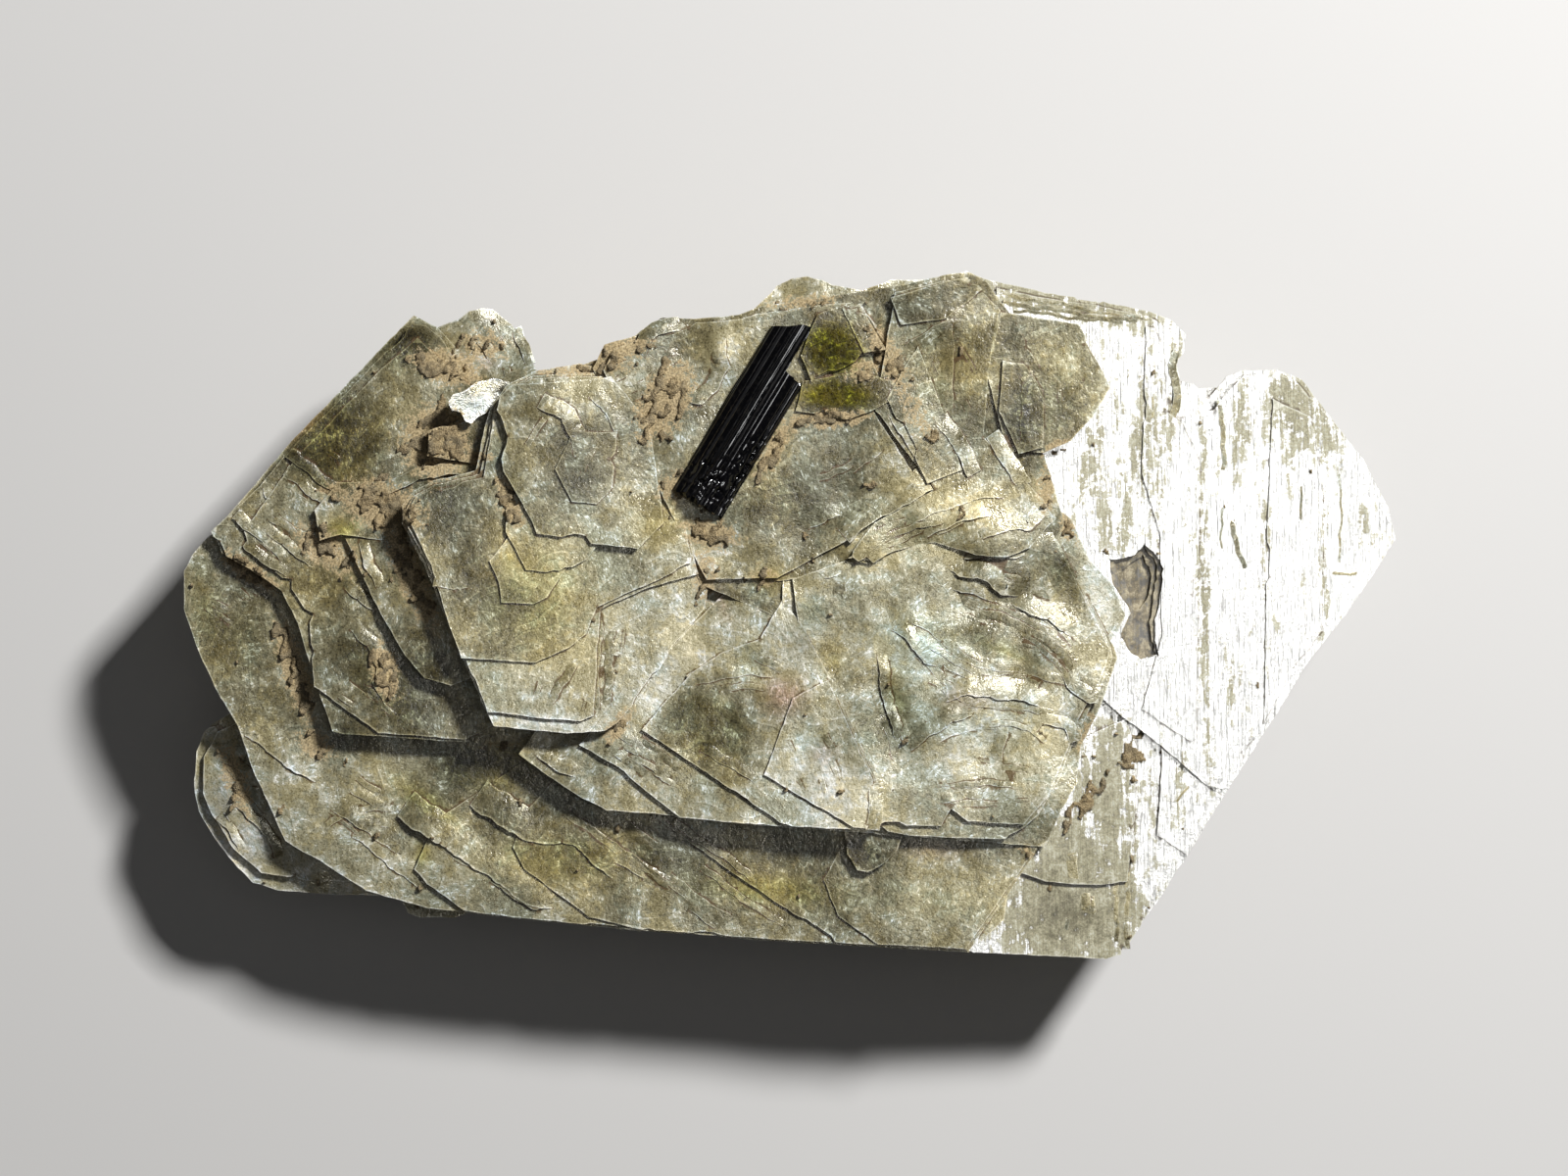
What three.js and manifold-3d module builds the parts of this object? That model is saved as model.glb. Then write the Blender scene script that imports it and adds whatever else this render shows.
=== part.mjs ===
// A cluster of intergrown muscovite mica crystals with one black tourmaline prism bedded in its top.
// Millimetres, +Z up. The cluster lies on a flat cleavage face at z = 0, and +X runs along its length.
// Every mica crystal is a book of flat leaves. A leaf is an outline seen from above, raised to a slightly
// tilted plane, so outlines are true in plan whatever the tilt of the book.

import * as THREE from 'three';
import { mergeVertices } from 'three/addons/utils/BufferGeometryUtils.js';
import Module from 'manifold-3d';

const wasm = await Module();
wasm.setup();

// Driving dimensions. The cluster is 120 long and 68 wide.
const TERRACES = 8;
const TERRACE_RISE = 1.6;
const LEAF_OVERLAP = 0.3;
const SOCKET_GAP = 0.3;
const PRISM_RADIUS = 3.2;
const PRISM_LENGTH = 20.4;
const PRISM_SIDES = 6;
const GROOVES_PER_SIDE = 4;
const GROOVE_DEPTH = 0.16;
const SHOULDER_LENGTH = 5;
const SHOULDER_Y = 0.7;

// A book's plane: its height at one place, and how much it climbs for each millimetre along X and Y.
const plane = (x, y, height, climbX, climbY) => ({ x, y, height, climbX, climbY });

const PLANES = {
  level: plane(0, 0, 0, 0, 0),
  base: plane(0, 0, 15, 0, 0),
  second: plane(-45, 0, 16.9, 0.015, -0.02),
  third: plane(-36, -6.5, 18.9, 0.035, -0.063),
  front: plane(-29.5, -10.5, 22, -0.085, -0.03),
  lower: plane(7.8, -21, 19.8, 0.02, -0.055),
  right: plane(12, -12, 18.4, -0.05, -0.01),
  upper: plane(10, 12, 18.7, -0.04, 0.01),
  smoky: plane(28, 22, 17.6, -0.05, 0),
  silver: plane(28, 0, 15.5, -0.12, 0.02),
  bright: plane(-31, 21, 19.6, -0.2, 0.03),
  rearLeft: plane(-52, -22, 12.6, 0.06, 0.05),
  rearTop: plane(-30, 27, 14.8, 0.03, -0.05),
  rearBump: plane(2, 31, 15, 0.02, -0.08),
};

// Each leaf: the plane it lies in, its top above that plane, its thickness, and its outline in plan.
const leaf = (bed, top, thickness, outline) => ({ bed, top, thickness, outline });

// The flat cleavage face that everything rests on, and the outline its terraces spread out to.
const FOOT = [
  [-43, 2], [-42, -6], [-38, -16], [-31, -20], [-9, -22.5], [14, -24], [25, -23], [33, -14], [37, -4],
  [33, 8], [25, 17], [13, 21], [-6, 20], [-19, 18], [-29, 15], [-38, 9],
];
const RIM = [
  [-55, 4], [-54, -6], [-48, -20], [-38, -26.6], [-10, -29.4], [15, -31], [28, -31], [36, -21], [40, -6],
  [39, 10], [33, 24], [16, 29.5], [-6, 27], [-21, 24], [-36, 23.6], [-47, 14],
];

// The large left plate, with its stepped leaves climbing towards the lower right.
const baseLeaves = [
  leaf('base', -3.6, 3.2, [
    [-37.8, 28.4], [-45.4, 20.6], [-56.5, 8.4], [-58.8, 4.4], [-58.7, 1], [-56.2, -7], [-53.4, -12.8],
    [-49.2, -21.6], [-41.6, -26.2], [-27, -28.8], [0, -31.2], [18, -32.4], [29, -28], [28, 18], [12, 28],
    [-16, 26], [-26, 22.5], [-35, 27],
  ]),
  leaf('base', -1.2, 2.8, [
    [-37.4, 29.4], [-45, 21.6], [-49.2, 17.4], [-53.6, 12], [-57, 8.7], [-59.7, 5], [-59.5, 0.4],
    [-57.6, -6], [-55.4, -9.6], [-53.7, -14.4], [-50.3, -21.8], [-42.4, -27.2], [-33, -29.4], [-15, -31.1],
    [0, -32], [19, -33.2], [26, -24], [25, 10], [10, 28], [-16, 26.6], [-25.4, 23.2], [-35, 28],
  ]),
  leaf('base', 0, 2.2, [
    [-37.3, 29.7], [-40, 26.9], [-45, 21.8], [-49.4, 17.2], [-53.2, 12.8], [-56.6, 8.9], [-59.2, 6],
    [-60, 4.4], [-60, 0.6], [-58.4, -4], [-56.7, -7.6], [-54.7, -10.9], [-53, -15.8], [-50, -22.3],
    [-46.5, -24.3], [-42, -27.2], [-36, -28.9], [-27.5, -29.9], [-15, -31.2], [0, -32.3], [17.5, -33.3],
    [21, -30], [24, -10], [20, 10], [4, 28], [-16, 26], [-25, 23.5], [-33, 26.5], [-35, 28.5],
  ]),
  leaf('base', 0.45, 1.2, [
    [-37.3, -25], [-36, -26.5], [-32.4, -29.1], [-27.4, -29.8], [-15, -31.1], [0, -32.2], [17.4, -33.2],
    [24.8, -22.6], [20, -10], [-20, -10], [-35, -20],
  ]),
  leaf('base', 0.7, 1.2, [
    [-27.6, -22.8], [-26.4, -25], [-20, -29.8], [-14.8, -31], [0, -32.1], [17.4, -33.1], [24.7, -22.6],
    [20, -10], [-20, -12], [-26, -19],
  ]),
  leaf('base', 1, 1.2, [
    [-13.5, -20], [-6.5, -25], [3.6, -31.8], [4.2, -32.3], [17.3, -33], [24.6, -22.6], [20, -10], [-10, -12],
  ]),
  leaf('base', 1.2, 1.2, [
    [4.4, -29.6], [8.4, -32.5], [17.2, -32.9], [24.5, -22.6], [20, -12], [6, -20], [3, -26],
  ]),
  leaf('base', 2.2, 1.6, [
    [4.9, -20], [5.3, -23.5], [6.3, -25.2], [7.5, -25.4], [9.3, -24.3], [10.5, -23], [11.4, -20],
  ]),
];

// The plate lying on the left plate, up to its top left corner, and the loose-ended leaf above it.
const secondLeaves = [
  leaf('second', 0, 2.6, [
    [-57.2, 8.3], [-56.2, 6], [-54, 4.9], [-50.2, 2.4], [-48.6, -0.8], [-47.4, -5], [-45.2, -11.4],
    [-44, -11.7], [-32, -12.5], [-18, -8], [-14, 10], [-24, 22], [-32, 23.5], [-34.4, 27.4], [-36, 28.6],
    [-37.4, 28.8], [-40, 26], [-45, 20.8], [-49.6, 16.2], [-52.4, 12.8],
  ]),
  leaf('second', 0.3, 1, [
    [-47, -7], [-45, -8.5], [-40.6, -11.6], [-32, -12.3], [-20, -6], [-24, 18], [-32, 23], [-36.8, 27.4],
    [-40.4, 24.4], [-44.8, 19.8], [-49, 15.4], [-51.6, 11.6], [-54, 8.4], [-53.4, 6.2], [-49.6, 3.2],
    [-47.6, 0],
  ]),
  leaf('second', 1.2, 1.6, [
    [-46.4, 7.2], [-44.2, 7.8], [-38, 7], [-30, 6], [-29, 14], [-38, 13.4], [-44.6, 13.2], [-47, 10.4],
  ]),
  leaf('second', 1.7, 2, [
    [-35.7, 18.2], [-35.8, 15.6], [-30, 14.6], [-28, 16], [-28, 21], [-33, 19.2],
  ]),
  leaf('third', 0, 3, [
    [-44.1, 8], [-42.3, 4], [-40.4, 0.2], [-38, -4], [-36, -6.2], [-33.4, -6.9], [-28, -5], [-28, 10],
    [-37, 12], [-41, 11],
  ]),
];

// The thick front book that stands above the rest, with its nested steps.
const frontLeaves = [
  leaf('front', -2.4, 4.4, [
    [-37.4, 10.2], [-35.3, 4.6], [-31.3, -4.8], [-28.7, -10.3], [-22, -11], [-18, -10.8], [-12, -4.4],
    [-7.6, 0.8], [-7, 6], [-10, 14], [-17, 24.2], [-21, 24.6], [-25.6, 23.8], [-29.8, 18], [-31, 13.4],
  ]),
  leaf('front', -0.8, 1.9, [
    [-38.2, 10.8], [-38.2, 9], [-36, 4.9], [-34, 0], [-31.9, -5], [-29.9, -9.5], [-29.2, -10.9],
    [-25, -11.3], [-22, -11.6], [-18.2, -11.4], [-17, -10.6], [-15, -8.4], [-12.5, -4.7], [-10.2, -1.5],
    [-8.4, 0.7], [-7.6, 6], [-10.6, 13], [-13, 19.5], [-17.3, 24], [-20.8, 24.8], [-25.2, 24.1],
    [-28, 22.6], [-29.6, 20.5], [-30.5, 17], [-31, 14.3], [-35, 13.3], [-37, 12.3],
  ]),
  leaf('front', -0.35, 1, [
    [-37.8, 10.5], [-37.8, 9], [-35.7, 4.9], [-33.7, 0], [-30.2, -8.8], [-29.8, -9.5], [-24, -10.2],
    [-20.6, -10.5], [-19.2, -9.9], [-18.9, -5], [-18.6, 0.5], [-14, 2.6], [-9, 4], [-10.8, 12],
    [-13.4, 19.3], [-17.4, 23.8], [-20.2, 24], [-25.4, 23.6], [-28, 22.3], [-29.3, 20.3], [-30, 17],
    [-30.6, 14], [-35, 12.9], [-37, 11.9],
  ]),
  leaf('front', 0, 1, [
    [-33.5, -1], [-32.3, -4.2], [-25, -4.7], [-21.6, -3.2], [-20, -1.8], [-19, 0.8], [-13, 3.4], [-9.6, 5],
    [-11, 12], [-13.6, 19.2], [-17.5, 23.6], [-25.5, 23.3], [-28, 22], [-29.2, 20], [-29.6, 17],
    [-30.2, 13.6], [-35, 12.6], [-36.8, 11.7], [-37.5, 10.3], [-37.4, 9.2], [-35.3, 4.9],
  ]),
  leaf('front', 0.25, 0.8, [
    [-29.7, 5.4], [-28.7, 3.2], [-28.4, 1.2], [-25.2, 1], [-23.8, 1.7], [-22.5, 3.6], [-20, 8], [-27, 9],
  ]),
  leaf('front', 0.5, 1, [
    [-28, 10.4], [-28, 8.2], [-26, 4.4], [-22.6, 4], [-20, 5.4], [-18, 8], [-24, 12],
  ]),
  leaf('front', 0.9, 1.4, [
    [-28.9, 20], [-28, 17.5], [-28.4, 15.3], [-28.2, 14], [-25.7, 9.6], [-25, 7.9], [-22.5, 7.6],
    [-21.3, 7.9], [-20.2, 7.7], [-19.7, 6.9], [-15, 6.4], [-12.4, 9], [-13.8, 19], [-17.6, 23.5],
    [-20, 23.2], [-27.3, 22.7], [-28.6, 21.5],
  ]),
  leaf('front', 1.15, 0.8, [
    [-23.2, 14.3], [-21.5, 11.1], [-19, 10.8], [-17.4, 12.5], [-17, 18], [-21.4, 18],
  ]),
  leaf('bright', 0, 1.6, [
    [-33.7, 20.6], [-31.6, 22.5], [-29.4, 23.4], [-26.6, 22.6], [-26.8, 19], [-29.8, 20], [-31.2, 18.6],
  ]),
  leaf('front', -3, 1.6, [
    [-16.8, -9], [-14.8, -9.3], [-12.8, -7.2], [-9.8, -7.4], [-9.6, -4.6], [-7, -2], [-6, 2], [-14, 0],
  ]),
];

// The lower middle book, a wedge whose outer end is lifted.
const lowerLeaves = [
  leaf('lower', -2.2, 2.4, [
    [-25.4, -13.4], [-20, -17.2], [-12, -18.8], [0, -20], [7.2, -20.6], [8, -16], [4, -6], [-1, 2.4],
    [-8, 2], [-18, -8],
  ]),
  leaf('lower', -0.9, 1.6, [
    [-26.9, -13.6], [-24, -15.8], [-20.6, -18], [-18.2, -19.2], [-12.5, -19.6], [-10.5, -20], [0, -20.9],
    [7.9, -21.4], [8.7, -20.4], [8.9, -16], [7, -12.2], [4.4, -6.2], [1.2, -0.4], [-1, 3.2], [-6, 3],
    [-12, -3], [-18, -9], [-25, -11],
  ]),
  leaf('lower', -0.4, 1, [
    [-21, -12.7], [-17, -15], [-14, -17.6], [-11, -19.9], [0, -20.8], [7.7, -21.2], [8.4, -20.3],
    [8.5, -16], [6.7, -12.2], [4.1, -6.2], [1, -0.4], [-1, 2.8], [-6, 3], [-12, -3], [-18, -9],
  ]),
  leaf('lower', 0, 1, [
    [-14.8, -11.2], [-9.5, -14.7], [-5, -17.7], [-1.2, -20.3], [0, -20.7], [7.5, -21], [8.1, -20.2],
    [8.2, -16], [6.4, -12.1], [3.9, -6.2], [0.8, -0.4], [-1, 1.6], [-3.2, -2.2], [-7, -3.6], [-10, -5.6],
    [-13, -9],
  ]),
  leaf('lower', 0.3, 0.8, [
    [-2.8, -15.6], [0.2, -17.4], [3, -19], [6, -20.8], [7.4, -20.9], [7.9, -20.1], [8, -16], [6.2, -12],
    [3.6, -6.2], [0, -8],
  ]),
];

// The right middle book, whose sharp corner overhangs the silver plate.
const rightLeaves = [
  leaf('right', -2.4, 3, [
    [8, -20.6], [23.6, -21.8], [27, -15.6], [30.4, -6], [30.4, -3], [25, 8], [10, 8], [4, -10],
  ]),
  leaf('right', -1.2, 1.6, [
    [7, -21.3], [8.5, -21.6], [25, -22.9], [26.5, -19.5], [28.2, -16.5], [28.5, -13], [30.5, -9],
    [32.2, -4.2], [31.9, -3.2], [30, 0.4], [28, 4.3], [26, 8], [15, 8], [5, 0], [5, -15],
  ]),
  leaf('right', -0.5, 1.2, [
    [8, -21], [11.5, -21.7], [21, -22.1], [22.6, -21.2], [24.3, -19.6], [26.4, -16], [28.2, -11.5],
    [30.2, -7.6], [31.7, -4.2], [31.6, -3.2], [29.7, 0.5], [27.8, 4.3], [25.8, 8.2], [15, 9], [4, 2],
    [4, -15],
  ]),
  leaf('right', 0, 1, [
    [7, -20.5], [14.7, -20.7], [15.6, -19], [17.2, -20.2], [22.8, -20.6], [25.2, -17.8], [27.8, -11.6],
    [30, -7.4], [31.2, -4], [31.3, -3.2], [29.4, 0.6], [27.5, 4.4], [25.6, 8.2], [15, 9], [2, 3], [5, -10],
  ]),
  leaf('silver', 0.5, 2, [
    [24, 12], [27.6, 9.6], [29.4, 5.6], [31.8, 3], [33, 0], [32.2, -1.8], [31, -3], [24, 0],
  ]),
];

// The upper middle book round the prism, with curved cleavage steps and narrow ribs.
const upperLeaves = [
  leaf('upper', -0.6, 5.4, [
    [-19.6, 24.2], [-18.4, 26.6], [-15.3, 27.5], [-14.5, 28.2], [-12.8, 29.3], [-9.5, 29.2], [-5.2, 29.5],
    [-3, 30.4], [5, 31.6], [10, 32.4], [15, 33.5], [17.4, 33.8], [19, 33], [20.5, 31], [22, 29], [24.5, 24],
    [24.8, 16], [26, 12], [26.8, 9], [26, 7.5], [24, 0], [5, -2], [-2, 0], [-9, 3], [-12, 10],
  ]),
  leaf('upper', 0, 1.2, [
    [-18.6, 24], [-17.4, 26.2], [-15.2, 27.1], [-12.8, 28.9], [-9.4, 28.8], [-5.2, 29.1], [-3.5, 29.6],
    [3, 30.6], [6, 30.8], [9.4, 21.4], [8, 20.2], [13, 12.6], [5, 7], [-1.4, 3.6], [-8.4, 3.4], [-12, 10],
  ]),
  leaf('upper', 0.15, 1.2, [
    [5, 5.4], [8, 5], [10, 6.2], [14, 7], [18, 5.8], [21, 5.6], [23.5, 6.5], [24.6, 8], [26, 9.4],
    [24.8, 11.4], [21.8, 14.6], [19, 17.6], [19.4, 24], [20.6, 30], [18, 32.6], [15, 33], [10, 31.8],
    [8, 20], [13.8, 12.4], [8, 9.2],
  ]),
  leaf('upper', 0.45, 1, [
    [9.2, 21.2], [13.2, 12.8], [16.8, 14.2], [15, 20], [12.4, 26.6], [10.6, 24],
  ]),
  leaf('upper', 0.4, 1, [
    [10.6, 28.4], [15.2, 29], [18.8, 32], [17.2, 33.2], [15, 32.8], [9.6, 31.2],
  ]),
  leaf('upper', 0.6, 1.4, [
    [0.8, 25.4], [1.9, 22.7], [6.3, 24.8], [7.4, 26.4], [5.4, 30.6], [2.4, 29.6],
  ]),
  leaf('upper', 0.35, 1.2, [
    [0.3, 20], [3, 19.6], [5.4, 19.1], [8, 20], [9.6, 20.9], [10.2, 23], [6.4, 24], [1, 23],
  ]),
  leaf('smoky', 0, 2.6, [
    [20.4, 29.9], [28.2, 28.7], [30.2, 25], [31.4, 22.4], [29.6, 19.4], [27.4, 17.1], [24.8, 15.9],
    [21, 16], [19, 24],
  ]),
  leaf('smoky', 0.4, 1, [
    [20.6, 25.1], [23.4, 24.7], [24.9, 22], [24.7, 16.4], [22.2, 15.8], [20.2, 20],
  ]),
];

// The silver plate at the right, tilted towards the light, with straight ribs along its length.
const silverLeaves = [
  leaf('silver', -2.8, 2.6, [
    [18, -32.6], [31, -33], [37.6, -24.6], [47, -9.6], [57, 4.2], [58.6, 7.8], [55.6, 15], [49.8, 22.6],
    [43.6, 22.8], [37.6, 22.4], [37.6, 27.6], [30, 30.6], [18.6, 32.8], [12, 28], [14, 0], [16, -24],
  ]),
  leaf('silver', -0.9, 2.4, [
    [16.5, -33.2], [25, -33.7], [31, -34], [32.6, -33.6], [38.5, -25], [43, -17.6], [48, -10], [51, -5],
    [55, 0], [58, 4.4], [60, 7.6], [59.4, 10.6], [56.7, 15.5], [53, 20.3], [50.6, 23.4], [48, 24.4],
    [44.5, 24.3], [43, 23.7], [41.2, 21.6], [39.7, 22.9], [38.4, 23.2], [38, 25], [38.9, 26], [39, 27.8],
    [37.6, 29.2], [35.5, 30], [30, 31.2], [25, 31.9], [19, 33.2], [17.2, 34], [14, 33], [12, 28], [16, 0],
    [17, -20],
  ]),
  leaf('silver', -0.45, 1, [
    [21.6, -25.2], [25, -26.4], [30.4, -26.8], [33.2, -26.4], [34, -21], [34.2, -13], [33, -10], [24, -14],
  ]),
  leaf('silver', -0.5, 1, [
    [36, -21.8], [39.1, -23.8], [42.7, -17.8], [41, -16.4], [36.5, -13],
  ]),
  leaf('silver', -0.5, 1, [
    [20, 32.4], [25, 31.4], [30, 30.7], [35.4, 29.6], [37.6, 28.2], [38, 26.2], [37.6, 24], [38.6, 21],
    [32, 18], [20, 28],
  ]),
  leaf('silver', 0, 1.4, [
    [33, -10.4], [37, -13.4], [41, -16.9], [42.8, -17.3], [47.6, -9.8], [50.6, -4.8], [54.6, 0.2],
    [57.6, 4.6], [59.6, 7.7], [59, 10.5], [56.3, 15.4], [52.7, 20.2], [50.3, 23.1], [48, 24],
    [44.6, 23.8], [43, 22.2], [41.6, 20.4], [38.5, 19.6], [37.5, 21], [37.7, 23], [37.3, 24.4],
    [37.6, 25.6], [37.2, 27.4], [36.2, 29], [30, 29.8], [20, 30.8], [18, 24], [18, 0], [28, -6],
  ]),
  leaf('silver', 0.25, 0.8, [
    [34.4, -9.3], [39.4, -12.6], [40, -12.2], [40.2, 2], [40.4, 15], [38.4, 19.2], [37, 20.2], [36.8, 26],
    [35.8, 28.4], [34.8, 28.6], [34.4, 14], [36.2, 8], [36.4, -2],
  ]),
  leaf('silver', 0.22, 0.8, [
    [46.6, -10.9], [49.8, -5.4], [52.6, -1.6], [52.7, 12], [51.4, 19.8], [47.4, 21.6], [46.8, 8],
  ]),
];

// Smaller crystals behind, seen past the edges of the large plates.
const rearLeaves = [
  leaf('rearLeft', -2.2, 3.4, [
    [-56.4, -10], [-57.4, -14], [-57.4, -18], [-54, -24], [-50, -26.2], [-42, -26.6], [-36, -26.6],
    [-34, -18], [-46, -6],
  ]),
  leaf('rearLeft', -0.7, 2.2, [
    [-57.3, -10.5], [-58.5, -11.5], [-59.2, -13.5], [-59.4, -17], [-59, -19.5], [-57.5, -22],
    [-55.5, -24.5], [-53.5, -26.6], [-51, -27.4], [-46, -27.8], [-40, -28], [-36, -26.6], [-40, -12],
    [-50, -6],
  ]),
  leaf('rearLeft', 0, 1.2, [
    [-57, -11.4], [-58.4, -14], [-58.4, -17.6], [-57.6, -20], [-55.4, -23.2], [-52.6, -25.6], [-48, -26.4],
    [-42, -26.6], [-40, -14], [-50, -8],
  ]),
  leaf('level', 10.4, 2.2, [
    [-38.7, -28.6], [-38.2, -29.6], [-37, -30.1], [-33.5, -30.1], [-32, -29.5], [-31, -24], [-38, -24],
  ]),
  leaf('rearTop', -1.4, 4.4, [
    [-34.4, 27.4], [-31.4, 29], [-29.4, 29], [-27.4, 27.4], [-25.6, 24], [-24, 18], [-36, 18],
  ]),
  leaf('rearTop', 0, 1.8, [
    [-35.2, 28.4], [-33, 29.3], [-31.9, 30.1], [-30.6, 30.4], [-29.5, 30.3], [-27.6, 28.8], [-26, 26.4],
    [-25, 24], [-24, 18], [-36, 18],
  ]),
  leaf('rearBump', -1.6, 4.6, [
    [-9, 27.4], [-2.2, 31], [0, 32.2], [1.6, 32.4], [4, 31.6], [9.6, 32], [14, 32], [14, 20], [-9, 20],
  ]),
  leaf('rearBump', 0, 1.8, [
    [-4.2, 30], [-2.6, 31.4], [-1.5, 32.6], [0, 33.3], [1.5, 33.5], [3, 33.2], [4, 32.7], [7, 32.2],
    [9.8, 33.2], [12, 33.2], [15.4, 33.4], [16, 24], [-6, 24],
  ]),
];

// Broken-out places in the books, where leaves are missing: cut down from the plane by the thickness.
const pits = [
  leaf('silver', 1, 1.9, [
    [31, 5.8], [33.6, 6.2], [34.8, 7.4], [35.8, 6], [36.4, 4.6], [36.3, 1.6], [35.8, -0.4], [36.4, -4.4],
    [34.8, -4.6], [33, -3.4], [32.4, -1.8], [33.2, 0.2], [32, 2.8],
  ]),
  leaf('smoky', 1, 3.4, [[21.4, 15.9], [22.2, 16.3], [23, 15.6], [22.7, 14.8], [21.7, 14.8]]),
];

// Gives the height of a book's plane at a place.
const heightAt = (bed, x, y) => bed.height + bed.climbX * (x - bed.x) + bed.climbY * (y - bed.y);

// Turns a closed three.js geometry into a solid that can be joined and cut.
function toSolid(geometry) {
  const bare = geometry.index ? geometry.toNonIndexed() : geometry.clone();
  bare.deleteAttribute('normal');
  bare.deleteAttribute('uv');
  const merged = mergeVertices(bare, 1e-4);
  return new wasm.Manifold(new wasm.Mesh({
    numProp: 3,
    vertProperties: new Float32Array(merged.attributes.position.array),
    triVerts: new Uint32Array(merged.index.array),
  }));
}

// Turns a joined solid back into a three.js geometry with flat faces.
function toGeometry(solid) {
  const mesh = solid.getMesh();
  const geometry = new THREE.BufferGeometry();
  geometry.setAttribute('position', new THREE.BufferAttribute(mesh.vertProperties, 3));
  geometry.setIndex(new THREE.BufferAttribute(mesh.triVerts, 1));
  const faceted = geometry.toNonIndexed();
  faceted.computeVertexNormals();
  return faceted;
}

// One mica leaf: its outline extruded, then raised to the plane of its book.
function leafSolid({ bed, top, thickness, outline }) {
  const shape = new THREE.Shape(outline.map(([x, y]) => new THREE.Vector2(x, y)));
  const geometry = new THREE.ExtrudeGeometry(shape, { depth: thickness, bevelEnabled: false });
  const position = geometry.attributes.position;
  for (let i = 0; i < position.count; i++) {
    const rise = heightAt(PLANES[bed], position.getX(i), position.getY(i)) + top - thickness;
    position.setZ(i, position.getZ(i) + rise);
  }
  return toSolid(geometry);
}

// The terraced underside: leaves that spread from the flat foot to the rim, each a little out of line.
function terraceLeaves() {
  return Array.from({ length: TERRACES }, (_, step) => {
    const spread = Math.pow(step / (TERRACES - 1), 0.8);
    const outline = FOOT.map(([x, y], corner) => {
      const shift = step === 0 ? 0 : 0.05 * Math.sin(2.3 * step + 1.9 * corner);
      const share = Math.min(1, spread + shift);
      return [x + (RIM[corner][0] - x) * share, y + (RIM[corner][1] - y) * share];
    });
    const top = (step + 1) * TERRACE_RISE;
    return leaf('level', top, step === 0 ? top : TERRACE_RISE + LEAF_OVERLAP, outline);
  });
}

// The prism's cross-section: six sides, bulging a little, each cut by narrow lengthwise grooves.
function prismSection(radius, grooveDepth) {
  const points = [];
  const perSide = 2 * GROOVES_PER_SIDE;
  for (let side = 0; side < PRISM_SIDES; side++) {
    for (let step = 0; step < perSide; step++) {
      const along = step / perSide;
      const angle = ((side + along) * 2 * Math.PI) / PRISM_SIDES;
      const flat = Math.cos(Math.PI / PRISM_SIDES) / Math.cos((along - 0.5) * 2 * Math.PI / PRISM_SIDES);
      const bulge = 0.5 * (1 + flat);
      const groove = step % 2 === 1 ? grooveDepth : 0;
      points.push(new THREE.Vector2((radius * bulge - groove) * Math.cos(angle),
        (radius * bulge - groove) * Math.sin(angle)));
    }
  }
  return new THREE.Shape(points);
}

// A prism along its own +Z, narrower on its own +Y side near the upper end.
function prismBody(grow, grooveDepth) {
  const section = prismSection(PRISM_RADIUS + grow, grooveDepth);
  const body = new THREE.ExtrudeGeometry(section, { depth: PRISM_LENGTH + 2 * grow, bevelEnabled: false });
  body.translate(0, 0, -grow);
  const shoulder = new THREE.BoxGeometry(4 * PRISM_RADIUS, 2 * PRISM_RADIUS, 2 * SHOULDER_LENGTH);
  shoulder.translate(0, SHOULDER_Y + PRISM_RADIUS + grow, PRISM_LENGTH + grow);
  return toSolid(body).subtract(toSolid(shoulder));
}

// A block whose lower face passes through a place, facing the way that two turns give it.
function cutter(position, turnX, turnY) {
  const width = 6 * PRISM_RADIUS;
  const block = new THREE.BoxGeometry(width, width, width);
  block.translate(0, 0, width / 2);
  block.rotateX(turnX);
  block.rotateY(turnY);
  block.translate(...position);
  return toSolid(block);
}

// The tourmaline crystal: a jagged break at its foot, two slanting faces at its upper end.
function tourmalineSolid() {
  return prismBody(0, GROOVE_DEPTH)
    .subtract(cutter([0, -1.6, 1.1], Math.PI - 0.35, 0))
    .subtract(cutter([0, 1.4, 1], Math.PI + 0.5, 0.2))
    .subtract(cutter([0, -1.25, PRISM_LENGTH - 1], 0.49, 0))
    .subtract(cutter([1.2, -0.4, PRISM_LENGTH - 0.9], 0.35, 0.5));
}

// Where the prism lies: its foot, and its lean. Its own +X faces up and its own +Y to the lower right.
const prismSeat = new THREE.Object3D();
prismSeat.position.set(-9.2, 11.1, 18.5);
prismSeat.quaternion.setFromRotationMatrix(new THREE.Matrix4().makeBasis(
  new THREE.Vector3(0, 0, 1),
  new THREE.Vector3(0.855, -0.518, 0).normalize(),
  new THREE.Vector3(0.518, 0.855, 0).normalize(),
));
prismSeat.updateMatrix();

const micaMaterial = new THREE.MeshStandardMaterial({ color: 0x9a9478, roughness: 0.34, metalness: 0.25 });
const tourmalineMaterial = new THREE.MeshStandardMaterial({ color: 0x070707, roughness: 0.14, metalness: 0 });

// The mica cluster: all leaves joined, less the pits and the socket of the prism.
function makeMica() {
  const leaves = [
    ...terraceLeaves(), ...baseLeaves, ...secondLeaves, ...frontLeaves, ...lowerLeaves, ...rightLeaves,
    ...upperLeaves, ...silverLeaves, ...rearLeaves,
  ];
  const joined = leaves.map(leafSolid).reduce((sum, solid) => sum.add(solid));
  const broken = pits.map(leafSolid).reduce((rest, pit) => rest.subtract(pit), joined);
  const socket = toGeometry(prismBody(SOCKET_GAP, 0)).applyMatrix4(prismSeat.matrix);
  const mesh = new THREE.Mesh(toGeometry(broken.subtract(toSolid(socket))), micaMaterial);
  mesh.name = 'mica_cluster';
  return mesh;
}

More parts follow.
